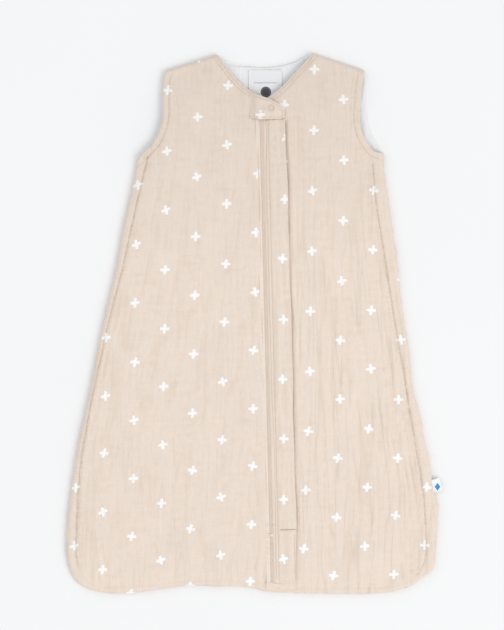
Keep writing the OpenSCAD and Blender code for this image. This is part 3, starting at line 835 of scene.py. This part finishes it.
    # painted shade: the colour is darkened in crinkle hollows, seam and stitch grooves and crease troughs
    fold = np.clip(-(calm * crinkle) / 0.62, 0, 0.9) + np.clip(-groove / 0.95, 0, 1.0) + np.clip(-crease * 0.9, 0, 0.6)
    d_sewn = np.minimum(np.minimum(d_rim, d_hem), d_sh)
    lift = np.maximum(top - CLOTH, 2.9)
    lift = lift - (lift - 2.9) * np.exp(-(d_sewn / 4.5) ** 2)   # the seam's turned-in edges fill the rim
    return top.reshape(nv, nu), lift.reshape(nv, nu), fold.reshape(nv, nu)


def hem_part(x0, x1):
    xs = np.linspace(x0, x1, 160)
    return np.stack([xs, np.interp(xs, hem[:, 0], hem[:, 1])], 1)


NU, NV = (118, 370)
zip_l = zip_to_xy(-2.75 - 1.3 * smooth((np.linspace(596, -23.7, 320) - 3.5) / -4), np.linspace(596, -23.7, 320))
zip_r = zip_to_xy(4.6, np.linspace(600, -16.4, 320))
zip_l[0, 1], zip_r[0, 1] = hem_y(zip_l[0, 0]), hem_y(zip_r[0, 0])
p_left = patch(join(side_l[::-1], arm_l[::-1]), zip_l, hem_part(-194, zip_l[0, 0]),
               join(shoulder_l, neck_tip_l, neck_front_l[::-1], zip_l[-1:]), NU, NV)
p_right = patch(zip_r, join(side_r, arm_r), hem_part(zip_r[0, 0], 174),
                join(zip_r[-1:], neck_front_r[::-1], shoulder_r), NU, NV)
lt, lu, left_shade = front_heights(p_left, False)
rt, ru, right_shade = front_heights(p_right[:, ::-1], True)
rt, ru, right_shade = rt[:, ::-1], ru[:, ::-1], right_shade[:, ::-1]
front_left = closed("front_left_cloth", p_left, lt, lu, [mat_front, mat_lining], 0.5,
                    print_left(p_left.reshape(-1, 2)), left_shade)
front_right = closed("front_right_cloth", p_right, rt, ru, [mat_front, mat_lining], 0.5,
                     print_right(p_right.reshape(-1, 2)), right_shade)
on_left, on_right = Heights(p_left, lt), Heights(p_right, rt)


def mark_front(o, p, right):
    """Where the side seam and the fine creases lie, for the material."""
    q = p.reshape(-1, 2)
    x, y = q[:, 0], q[:, 1]
    line = sew_r if right else sew_l
    order = np.argsort(line[:, 1])
    side_x = np.interp(y, line[order, 1], line[order, 0])
    far, _ = near(q, line)
    seam = far * np.where(x < side_x, -1, 1)
    seam = seam + 30 * smooth((-304 - y) / 10) * np.where(seam < 0, -1, 1)
    across = (q - TOP) @ ACROSS
    bend = smooth((across - 30) / 150) if right else smooth((-across - 20) / 170)
    lean = (x - (np.interp(np.clip(y, -215, 200), line[order, 1], line[order, 0])
                 - (150 if right else -150)) * bend * (0.45 if right else 0.6)) * MM
    amount = (0.45 + 0.55 * smooth((215 - y) / 200)) if right else 0.28 + 0.3 * smooth((150 - y) / 300)
    amount = amount * smooth((np.abs(across) - 6) / 6)
    idx = np.concatenate([np.arange(len(q))] * 2 + [loop_of(p.shape[1], p.shape[0])] * 3)
    for name, v in (("seam", seam), ("lean", lean), ("amount", amount)):
        at = o.data.attributes.new(name, "FLOAT", "POINT")
        at.data.foreach_set("value", v[idx].astype(np.float32))


mark_front(front_left, p_left, False)
mark_front(front_right, p_right, True)

# the back: lining up, outer down
NB, MB = (190, 250)
p_back = patch(join(side_l[::-1], arm_l[::-1]), join(side_r, arm_r_back), hem_part(-194, 174),
               join(shoulder_l, neck_tip_l, neck_back[::-1], neck_tip_r, shoulder_r), NB, MB)
qb = p_back.reshape(-1, 2)
d_edge, _ = near(qb, rim_line)
d_s1, _ = near(qb, np.concatenate([neck_tip_l, shoulder_l]))
d_s2, _ = near(qb, np.concatenate([neck_tip_r, shoulder_r]))
d_nk, _ = near(qb, neck_back)
d_sh = np.minimum(d_s1, d_s2)
bw = 0.22 * waves(qb[:, 0], qb[:, 1], 12, 130, 71, 36) + 0.12 * waves(qb[:, 0], qb[:, 1], 7, 50, 72, 30)
bt = 2.3 + 0.7 * np.exp(-d_edge / 6) + 1.2 * np.exp(-d_sh / 9) + 0.5 * hump(d_nk, 0, 2.5)
bt = bt + np.clip(bw, -0.5, 0.7) * smooth(d_edge / 10) - 0.3 * hump(d_nk, 3.4, 1.0)
bu = np.maximum(0.0, 1.1 * (1 - quarter(d_edge / 6)) + 0.12 * np.clip(-bw, 0, 1) + 1.5 * np.exp(-d_sh / 7))
# painted shade: darker in the troughs of the crinkles and in the groove beside the neck stitching
bfold = np.clip(-bw / 0.5, 0, 0.8) + 0.6 * hump(d_nk, 3.4, 1.0)
back = closed("back_cloth", p_back, bt.reshape(MB, NB), bu.reshape(MB, NB), [mat_lining, mat_outer], 0.5,
              print_left(qb * [-1, 1]), bfold.reshape(MB, NB), wall=(0, 1), sewn=np.minimum(d_edge, d_sh) < 1.5)
on_back = Heights(p_back, bt)

# ---------------------------------------------------------------- the placket strip
down = np.linspace(10, 597, 330)
PW = 26
frac = np.linspace(0, 1, PW)
right_edge = strip_edge(down)
left_edge = 4.9 + 0.25 * np.sin(down / 21) + 0.9 * smooth((75 - down) / 60) + 1.2 * smooth((down - 330) / 90) \
    * smooth((560 - down) / 60)
ac = left_edge[:, None] * (1 - frac) + right_edge[:, None] * frac
p_pl = TOP + ac[..., None] * ACROSS + down[:, None, None] * DOWN
p_pl = p_pl[::-1]
ac, dn = ac[::-1], down[::-1, None] + 0 * ac
f = np.tile(frac, (330, 1))
below = smooth((dn - 521) / 8)
base = 11.75 + 0 * dn
free = smooth((f - 0.62) / 0.38) * (1 - below)
lifted = 0.75 + 0.7 * smooth((150 - dn) / 120) + 0.45 * np.sin(dn / 46 + 0.6) + 0.25 * np.sin(dn / 19)
crown = 0.7 * np.sin(math.pi * np.clip(f * 1.08, 0, 1)) * (1 - 0.5 * below)
wrink = -0.35 * hump(dn + 0.3 * np.sin(ac / 4), 66, 1.6) - 0.3 * hump(dn - 0.15 * ac, 420, 1.8) \
    - 0.3 * hump(dn + 0.1 * ac, 487, 1.6) - 0.25 * hump(dn, 556, 2.0)
wrink = wrink + 0.16 * waves(ac, dn, 9, 130, 81, 30) + 0.10 * waves(dn, ac, 13, 60, 82, 30)
wrink = wrink + 0.22 * waves(ac, dn, 15, 210, 83, 24) * smooth((dn - 60) / 80)
pt = base + 0.45 + 0.75 * smooth(f / 0.28) + crown + free * np.maximum(lifted, 0.15) \
    + wrink * (0.3 + 0.7 * np.sin(math.pi * f))
pt = pt - 0.45 * hump(ac, 8.2, 0.9) - 0.3 * below * (hump(f, 0.9, 0.05) + hump(f, 0.1, 0.05))
pt = pt - 0.55 * hump(dn, 521.5, 1.5) * smooth((f - 0.15) / 0.1)
toe = smooth((dn - 588) / 9)
pt = pt - 1.6 * toe
pu = np.minimum(pt - 1.0, base + 0.1 + 0.9 * free * np.maximum(lifted, 0.15) + 0.35 * crown)
pu = np.minimum(pu, pt - 0.8)
# follow the cloth beneath at the foot
ground = on_right.at(p_pl.reshape(-1, 2)).reshape(pt.shape)
sink = smooth((dn - 545) / 45)
pt = pt * (1 - sink) + np.maximum(ground + 1.0, 5) * sink
pu = np.minimum(pt - 0.8, pu * (1 - sink) + (ground - 0.1) * sink)
# painted shade: darker in the wrinkle troughs and in the groove along the stitched root
pfold = np.clip(-wrink / 0.5, 0, 0.7) + 0.5 * hump(ac, 8.2, 0.9)
placket = closed("placket_cloth", p_pl, pt, pu, [mat_outer, mat_plain], 0.35,
                 print_placket(p_pl.reshape(-1, 2)), pfold)
on_placket = Heights(p_pl, pt)

# ---------------------------------------------------------------- the hem's turn over the zip's end
hx = np.linspace(-8.5, 10.5, 22)
hv = np.linspace(0, 1, 12)
px_ = zip_to_xy(hx, np.full(22, 597.0))[:, 0]
y_low = np.interp(px_, hem[:, 0], hem[:, 1]) + 0.2
p_foot = np.stack([np.repeat(px_[None], 12, 0), y_low[None] + (hv * 11.5)[:, None] + 0 * px_[None]], -1)
from_hem = (hv * 11.5)[:, None] + 0 * hx[None]
zf = 5.9 + 3.9 * quarter(from_hem / 5.5) + 2.15 * smooth((from_hem - 2.2) / 9)
zf = zf + 0.25 * np.sin(hx[None] / 2.1 + 1) * hump(from_hem, 6, 4) - 0.4 * hump(from_hem, 7.2, 1.0)
foot = closed("zip_foot_cloth", p_foot, zf, np.maximum(zf - 1.6, 3.0), [mat_plain, mat_plain], 0.2)

# ---------------------------------------------------------------- the snap tab
t_left = np.array([[-5.6, 256.7], [-6.2, 270], [-6.4, 288.6]])
t_right = np.array([[36.3, 255.6], [36.8, 265], [34.5, 271]])
t_low = curve([[-5.6, 256.7], [1.5, 256.0], [8.8, 255], [22, 255.1], [36.3, 255.6]])
t_high = curve([[-6.4, 288.6], [1.5, 286.0], [10, 283.0], [18, 280.0], [26, 275.8], [34.5, 271]])
p_tab = patch(curve(t_left), curve(t_right), t_low, t_high, 64, 40)
tx, ty = p_tab[..., 0], p_tab[..., 1]
tt = 11.55 + 5.95 * smooth((tx + 7.5) / 11.5) - 2.9 * smooth((tx - 25.5) / 11)
tt = tt - 2.0 * smooth((tx - 13) / 4) * smooth((263 - ty) / 8) * (1 - 0.5 * smooth((tx - 28) / 8))
tt = tt - 0.7 * smooth((257.6 - ty) / 2.2) - 0.8 * smooth((ty - 280.5) / 4) * smooth((tx + 1) / 5)
tt = tt + 0.10 * waves(tx, ty, 7, 30, 91, 30) * (1 - hump(np.hypot(tx - 20.4, ty - 268.8), 0, 7))
d_tl, s_tl = near(p_tab.reshape(-1, 2), t_low)
d_th, s_th = near(p_tab.reshape(-1, 2), t_high)
d_tr, s_tr = near(p_tab.reshape(-1, 2), curve(t_right))
d_tb = np.minimum(np.minimum(d_tl, d_th), d_tr).reshape(tx.shape)
tt = tt - 0.3 * hump(d_tb, 2.3, 0.7) - 0.5 * (1 - quarter(d_tb / 1.6))
tu = tt - (0.3 + 1.0 * smooth((tx + 6) / 7)) * (1 - 0.25 * (1 - quarter(d_tb / 1.4)))
# painted shade: the groove just inside the tab's edge is darkened in colour
tab = closed("snap_tab_cloth", p_tab, tt, tu, [mat_outer, mat_plain], 0.3,
             print_left(p_tab.reshape(-1, 2) - [2.5, -1.75]), 0.6 * hump(d_tb, 2.3, 0.7))
on_tab = Heights(p_tab, tt)

# ---------------------------------------------------------------- the zip: tape and coil
SPLIT = 515.3       # the chain opens down to here, and its foot stays shut


def tape(side, d0, d1, n, name):
    dd = np.linspace(d0, d1, n)
    spread = 1.35 * smooth((3.5 - dd) / 4)
    aa = np.linspace(0.1, 7.6, 10)
    x = aa + spread[:, None] * (1 - aa / 7.6)
    p = TOP + (side * x)[..., None] * ACROSS + dd[:, None, None] * DOWN
    z = 11.3 + 0.05 * np.sin(dd[:, None] / 9 + aa) + 0 * x
    if side < 0:
        p, z = p[:, ::-1], z[:, ::-1]
    p, z = p[::-1], z[::-1]
    return closed(name, p, z, z - 0.5, [mat_tape, mat_tape], 0.05), p


def coil(side, d0, d1, name):
    step = 2.2
    dd = np.arange(-9.4, 588.0, step) + (0 if side < 0 else step / 2)
    keep = ((dd < 525.6) | (dd > 530.9)) & (dd >= d0) & (dd < d1)
    dd = dd[keep]
    spread = 1.35 * smooth((3.5 - dd) / 4)
    r = np.random.RandomState(5 + side)
    c = TOP + np.multiply.outer(side * (0.98 + spread), ACROSS) + np.multiply.outer(dd, DOWN)
    mid = np.c_[c, 11.62 + 0.03 * r.normal(size=len(dd))]
    slant = ACROSS[None] * side + DOWN[None] * 0.22
    dirs = np.c_[np.repeat(slant, len(dd), 0), np.zeros(len(dd))]
    teeth = beads("zip_teeth_" + name, mid, dirs, (1.28, 0.74, 0.72),
                  mat_coil, 8, 7)
    # the chain stitch that holds the coil to its tape
    c = TOP + np.multiply.outer(side * (1.62 + spread), ACROSS) + np.multiply.outer(dd + 0.4, DOWN)
    lean = DOWN[None] + ACROSS[None] * side * 0.35
    st = beads("zip_stitch_" + name, np.c_[c, np.full(len(dd), 12.22)],
               np.c_[np.repeat(lean, len(dd), 0), np.zeros(len(dd))], (0.85, 0.34, 0.24), mat_thread)
    c = TOP + np.multiply.outer(side * (3.55 + spread * 0.6), ACROSS) + np.multiply.outer(dd, DOWN)
    lean2 = DOWN[None] - ACROSS[None] * side * 0.8
    st2 = beads("zip_edge_stitch_" + name, np.c_[c, np.full(len(dd), 11.46)],
                np.c_[np.repeat(lean2, len(dd), 0), np.zeros(len(dd))], (0.85, 0.36, 0.3), mat_coil) if side > 0 else None
    return [o for o in (teeth, st, st2) if o]


tape_l, pt_l = tape(-1, -13.9, SPLIT, 290, "zip_tape_left_cloth")
tape_r, pt_r = tape(1, -13.9, SPLIT, 290, "zip_tape_right_cloth")
tape_tl, pt_tl = tape(-1, SPLIT, 588.5, 44, "zip_tail_tape_left")
tape_tr, pt_tr = tape(1, SPLIT, 588.5, 44, "zip_tail_tape_right")
coil_l, coil_r = coil(-1, -20, SPLIT, "left"), coil(1, -20, SPLIT, "right")
coil_tl, coil_tr = coil(-1, SPLIT, 600, "tail_left"), coil(1, SPLIT, 600, "tail_right")

# ---------------------------------------------------------------- rows of stitches
def piece_of(line, lo=None, hi=None, axis=1):
    keep = np.ones(len(line), bool)
    if lo is not None:
        keep &= line[:, axis] > lo
    if hi is not None:
        keep &= line[:, axis] < hi
    return line[keep]


nl = neck_front_l[::-1]      # from the tip down to the zip
nr = neck_front_r            # likewise
rows_left = [stitch_row("stitch_neck_left_a", offset(nl, -2.4)[1:], on_left, 2.6, 1.4, 0.34, 0.05, mat_dark),
             stitch_row("stitch_neck_left_b", offset(nl, -6.0)[2:], on_left, 2.6, 1.4, 0.34, 0.05, mat_dark),
             stitch_row("stitch_zip_left", zip_to_xy(-5.15, np.linspace(-15, 590, 300)), on_left, 2.6, 1.3, 0.42,
                        0.05, mat_dark)]
rows_right = [stitch_row("stitch_neck_right_a", offset(nr, 2.4)[1:], on_right, 2.6, 1.4, 0.34, 0.05, mat_dark),
              stitch_row("stitch_neck_right_b", offset(nr, 6.0)[2:], on_right, 2.6, 1.4, 0.34, 0.05, mat_dark),
              stitch_row("stitch_placket_root", zip_to_xy(8.2, np.linspace(12, 588, 300)), on_placket)]
rows_bag = [stitch_row("stitch_armhole_left", offset(arm_l, 7.5)[3:-3], on_left),
            stitch_row("stitch_armhole_right", offset(arm_r, 7.5)[3:-3], on_right),
            stitch_row("stitch_side_left", sew_l[2:-2], on_left, 3.6, 2.3, 0.28, -0.1),
            stitch_row("stitch_side_right", sew_r[2:-2], on_right, 3.6, 2.3, 0.28, -0.1)]
neck_row = stitch_row("stitch_neck_back", offset(neck_back, -3.4)[3:-3], on_back, 3.2, 2.1, 0.28, 0.02, mat_lining)
foot_row = stitch_row("stitch_placket_foot", zip_to_xy(28.5, np.linspace(526, 586, 60)), on_placket)
t_ring = offset(join(t_low, curve(t_right), t_high[::-1]), 2.3)
t_ring = t_ring[(t_ring[:, 0] > -3.5) & (t_ring[:, 0] < 34.6)]
rows_tab = [stitch_row("stitch_tab_edge", t_ring, on_tab, 2.6, 1.3, 0.3, 0.05, mat_dark),
            stitch_row("stitch_tab_cross_a", curve([[-3, 284.2], [4, 281.6], [14, 277.8], [17, 276.0]]),
                       on_tab, 2.6, 1.3, 0.32, 0.05, mat_dark),
            stitch_row("stitch_tab_cross_b", curve([[25, 269.6], [29, 267.4], [33.6, 264.6]]), on_tab, 2.6, 1.3, 0.32, 0.05, mat_dark),
            stitch_row("stitch_tab_cross_c", curve([[3, 260.5], [9, 265.0], [15.5, 270.5]]), on_tab, 2.6, 1.3, 0.32, 0.05, mat_dark),
            stitch_row("stitch_tab_cross_d", curve([[3.4, 264.6], [8, 268.4], [14, 273.6]]), on_tab, 2.6, 1.3, 0.32, 0.05, mat_dark)]

# the bar tack: close stitches across the strip's foot
bc = np.arange(11, 30, 0.62)
bq = zip_to_xy(bc, np.full(len(bc), 522.2))
bz = on_placket.at(bq)
bar = beads("bar_tack_thread", np.c_[bq, bz + 0.15],
            np.c_[np.repeat(DOWN[None] + ACROSS[None] * 0.25, len(bq), 0), np.zeros(len(bq))],
            (0.95, 0.3, 0.34), mat_thread)

# ---------------------------------------------------------------- labels
def dash_mark(t, u, v, col, nz):
    """A row of short woven dashes."""
    cx, cy = 0.0130, 0.3015
    du = math_node(t, "SUBTRACT", u, cx)
    dv = math_node(t, "SUBTRACT", v, cy)
    cell = math_node(t, "FRACT", math_node(t, "MULTIPLY", du, 1 / 0.0021))
    on = math_node(t, "LESS_THAN", cell, 0.66)
    band = math_node(t, "LESS_THAN", math_node(t, "ABSOLUTE", dv), 0.00075)
    wide = math_node(t, "LESS_THAN", math_node(t, "ABSOLUTE", du), 0.0142)
    m = math_node(t, "MULTIPLY", math_node(t, "MULTIPLY", on, band), wide)
    return mix_rgb(t, math_node(t, "MULTIPLY", m, 0.75), col, (0.30, 0.31, 0.33))


def blue_mark(t, u, v, col, nz):
    """A plain blue lozenge."""
    cx, cy = 0.2285, -0.2045
    du = math_node(t, "ABSOLUTE", math_node(t, "SUBTRACT", u, cx))
    dv = math_node(t, "ABSOLUTE", math_node(t, "SUBTRACT", v, cy))
    s = math_node(t, "ADD", math_node(t, "MULTIPLY", du, 1.1), math_node(t, "MULTIPLY", dv, 0.8))
    s = math_node(t, "ADD", s, math_node(t, "MULTIPLY_ADD", nz, 0.0008, -0.0004))
    m = math_node(t, "LESS_THAN", s, 0.0040)
    return mix_rgb(t, m, col, (0.03, 0.25, 0.55))


def dot_mark(t, u, v, col, nz):
    """A pale hairline ring within the dot."""
    du = math_node(t, "SUBTRACT", u, 0.0136)
    dv = math_node(t, "SUBTRACT", v, 0.2900)
    r = math_node(t, "SQRT", math_node(t, "ADD", math_node(t, "MULTIPLY", du, du), math_node(t, "MULTIPLY", dv, dv)))
    m = math_node(t, "LESS_THAN", math_node(t, "ABSOLUTE", math_node(t, "SUBTRACT", r, 0.0052)), 0.00016)
    return mix_rgb(t, math_node(t, "MULTIPLY", m, 0.5), col, (0.6, 0.6, 0.6))


mat_neck = ribbon("label_neck", (0.80, 0.80, 0.815), dash_mark)
mat_dot = ribbon("label_dot", (0.045, 0.045, 0.05), dot_mark)
mat_side = ribbon("label_side", (0.86, 0.88, 0.90), blue_mark)
mat_care = ribbon("label_care", (0.85, 0.85, 0.85))


def box_grid(cx, cy, w, l, nu, nv, turn=0.0):
    u, v = np.meshgrid(np.linspace(-w / 2, w / 2, nu), np.linspace(-l / 2, l / 2, nv))
    a = math.radians(turn)
    return np.stack([cx + u * math.cos(a) - v * math.sin(a), cy + u * math.sin(a) + v * math.cos(a)], -1), u, v


g, u, v = box_grid(13.0, 295.4, 42, 44, 44, 44)
nz_ = 3.15 + 0.25 * np.sin(u / 9 + 1) + 0.18 * np.sin(v / 8) + 0.5 * smooth((abs(u) - 18.5) / 2.5)
nz_ = nz_ + 0.3 * smooth((v - 18) / 4)
neck_label = closed("neck_label_ribbon", g, nz_, nz_ - 0.45, [mat_neck, mat_neck], 0.1)
on_neck = Heights(g, nz_)
ang = np.linspace(0, 2 * math.pi, 49)[:-1]
rad = np.linspace(0.02, 1, 9)
verts, faces = [[13.6, 290.0, 0]], []
for i, rr_ in enumerate(rad):
    for a in ang:
        verts.append([13.6 + 6.6 * rr_ * math.cos(a), 290 + 6.6 * rr_ * math.sin(a), 0])
n = len(ang)
for j in range(n):
    faces.append((0, 1 + j, 1 + (j + 1) % n))
for i in range(len(rad) - 1):
    for j in range(n):
        a, b = 1 + i * n + j, 1 + i * n + (j + 1) % n
        faces.append((a, a + n, b + n, b))
verts = np.array(verts)
verts[:, 2] = on_neck.at(verts[:, :2]) + 0.22
m0 = len(verts)
lowv = verts.copy()
lowv[:, 2] -= 0.2
last = 1 + (len(rad) - 1) * n
faces += [tuple(i + m0 for i in f[::-1]) for f in faces]
for j in range(n):
    a, b = last + j, last + (j + 1) % n
    faces.append((a, a + m0, b + m0, b))
size_mark = make_mesh("size_mark_print", np.concatenate([verts, lowv]), faces, [mat_dot],
                      flat=np.concatenate([verts, lowv])[:, :2] * MM)

g, u, v = box_grid(222 + 3.65 * math.cos(math.radians(15)), -204 + 3.65 * math.sin(math.radians(15)), 15.3, 16,
                   34, 30, 15)
swell = 1.35 * np.sin(math.pi * np.clip((u + 7.65) / 15.3, 0, 1)) ** 0.8
zs = 4.6 + swell + 0.25 * np.sin(v / 3.5) - 0.8 * smooth((u + 2) / 9)
side_label = closed("side_label_ribbon", g, zs, zs - 0.5 - 0.8 * swell, [mat_side, mat_side], 0.15)
g, u, v = box_grid(-175 + 12 * math.cos(math.radians(12)) - 19 * math.sin(math.radians(12)),
                   -60 + 12 * math.sin(math.radians(12)) + 19 * math.cos(math.radians(12)), 24, 38, 24, 30, 12)
zc = 3.7 + 0.6 * smooth((v + 5) / 20) + 0.3 * np.sin(u / 6)
care_label = closed("care_label_ribbon", g, zc, zc - 0.4, [mat_care, mat_care], 0.1)

# ---------------------------------------------------------------- hard parts keep their own shape
HARD = {"zip_slider": mat_slider, "zip_pull": mat_slider, "zip_top_stop_left": mat_stop,
        "zip_top_stop_right": mat_stop, "zip_bottom_stop": mat_stop, "snap_cap": mat_snap,
        "snap_socket": mat_steel, "snap_stud": mat_steel, "snap_back_ring": mat_steel}
for name, m in HARD.items():
    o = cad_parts[name]
    o.data.materials.clear()
    o.data.materials.append(m)
    b = o.modifiers.new("soft_edge", "BEVEL")
    b.width = 0.18 * MM
    b.segments = 2
    b.limit_method = "ANGLE"
    b.angle_limit = math.radians(40)

# ---------------------------------------------------------------- what stands for what, and what moves
def cut_area(p):
    return grid_area(p)


def span(p):
    q = p.reshape(-1, 2) * MM
    return tuple(float(a) for a in (q.max(0) - q.min(0)))


for o in (front_left, tape_l, *coil_l, *rows_left):
    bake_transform(o)
for o in (front_right, tape_r, placket, *coil_r, *rows_right):
    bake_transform(o)
for o in (tab, *rows_tab):
    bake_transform(o)
for o in (back, foot, tape_tl, tape_tr, *coil_tl, *coil_tr, neck_row, foot_row, bar, neck_label, size_mark, side_label, care_label, *rows_bag):
    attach(o, "bag")

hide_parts("front_left_panel", "front_left_lining", "left_lapel", "left_lapel_lining",
            "neck_facing_left", "armhole_facing_left")
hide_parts("front_right_panel", "front_right_lining", "right_lapel", "right_lapel_lining",
            "neck_facing_right", "armhole_facing_right")
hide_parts("back_panel", "back_lining", "side_seam_left", "side_seam_right", "hem_seam",
            "shoulder_seam_left", "shoulder_seam_right")
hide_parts("placket", "placket_foot")
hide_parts("placket_bar_tack")
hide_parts("snap_tab", "tab_base")
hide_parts("zip_tape_left")
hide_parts("zip_tape_tail")
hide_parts("zip_tape_right")
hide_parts("zip_coil_left")
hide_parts("zip_coil_tail")
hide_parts("zip_coil_right")
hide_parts("neck_label")
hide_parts("size_mark")
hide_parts("side_label")
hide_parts("care_label")

for o, p, held, on in ((front_left, p_left, "laid", [back]), (front_right, p_right, "laid", [back]),
                       (back, p_back, "laid", ["floor"]), (placket, p_pl, "laid", [front_right]),
                       (tab, p_tab, "stretched", [front_left, front_right])):
    w, l = span(p)
    area = min(cut_area(p), w * l)
w, l = span(p_foot)
min(cut_area(p_foot), w * l)
for o, p, on in ((tape_l, pt_l, front_left), (tape_r, pt_r, front_right),
                 (tape_tl, pt_tl, front_left), (tape_tr, pt_tr, front_right)):
    cut_area(p)

# ---------------------------------------------------------------- floor, light and camera
bpy.ops.mesh.primitive_plane_add(size=14, location=(0, 0, -0.0002))
floor = bpy.context.object
floor.name = "floor"
fm, t, p = new_material("paper_floor")
tc = t.nodes.new("ShaderNodeTexCoord")
nz = noise_tex(t, tc.outputs["Object"], 3.0, 4, 0.5)
gt = math_node(t, "MULTIPLY_ADD", nz, 0.02, 0.872)
cc = t.nodes.new("ShaderNodeCombineColor")
for i in range(3):
    t.links.new(gt, cc.inputs[i])
t.links.new(cc.outputs[0], p.inputs["Base Color"])
p.inputs["Roughness"].default_value = 0.95
p.inputs["Specular IOR Level"].default_value = 0.1
floor.data.materials.append(fm)


def area_light(name, loc, size, power, colour, target=(0, 0, 0)):
    d = bpy.data.lights.new(name, "AREA")
    d.shape = "SQUARE"
    d.size = size
    d.energy = power
    d.color = colour
    o = bpy.data.objects.new(name, d)
    bpy.context.collection.objects.link(o)
    o.location = loc
    o.rotation_euler = (Vector(target) - Vector(loc)).to_track_quat("-Z", "Y").to_euler()
    return o


area_light("key", (2.9, -2.2, 4.2), 3.0, 98, (1.0, 0.985, 0.97))
area_light("fill", (-1.8, 1.2, 2.4), 2.6, 12, (0.95, 0.975, 1.0))
world = bpy.data.worlds.new("studio")
bpy.context.scene.world = world
world.use_nodes = True
world.node_tree.nodes["Background"].inputs["Color"].default_value = (0.97, 0.985, 1.0, 1)
world.node_tree.nodes["Background"].inputs["Strength"].default_value = 0.785

cam = bpy.data.cameras.new("camera")
cam.sensor_fit = "VERTICAL"
cam.sensor_height = 36
cam.sensor_width = 36
cam.lens = 36 * 2.99 / 0.7875
cam.clip_end = 50
cam_o = bpy.data.objects.new("camera", cam)
bpy.context.collection.objects.link(cam_o)
cam_o.location = (-0.00375, 0.0106, 3.0)
cam_o.rotation_euler = (0, 0, 0)
bpy.context.scene.camera = cam_o
bpy.context.scene.view_settings.view_transform = "Standard"
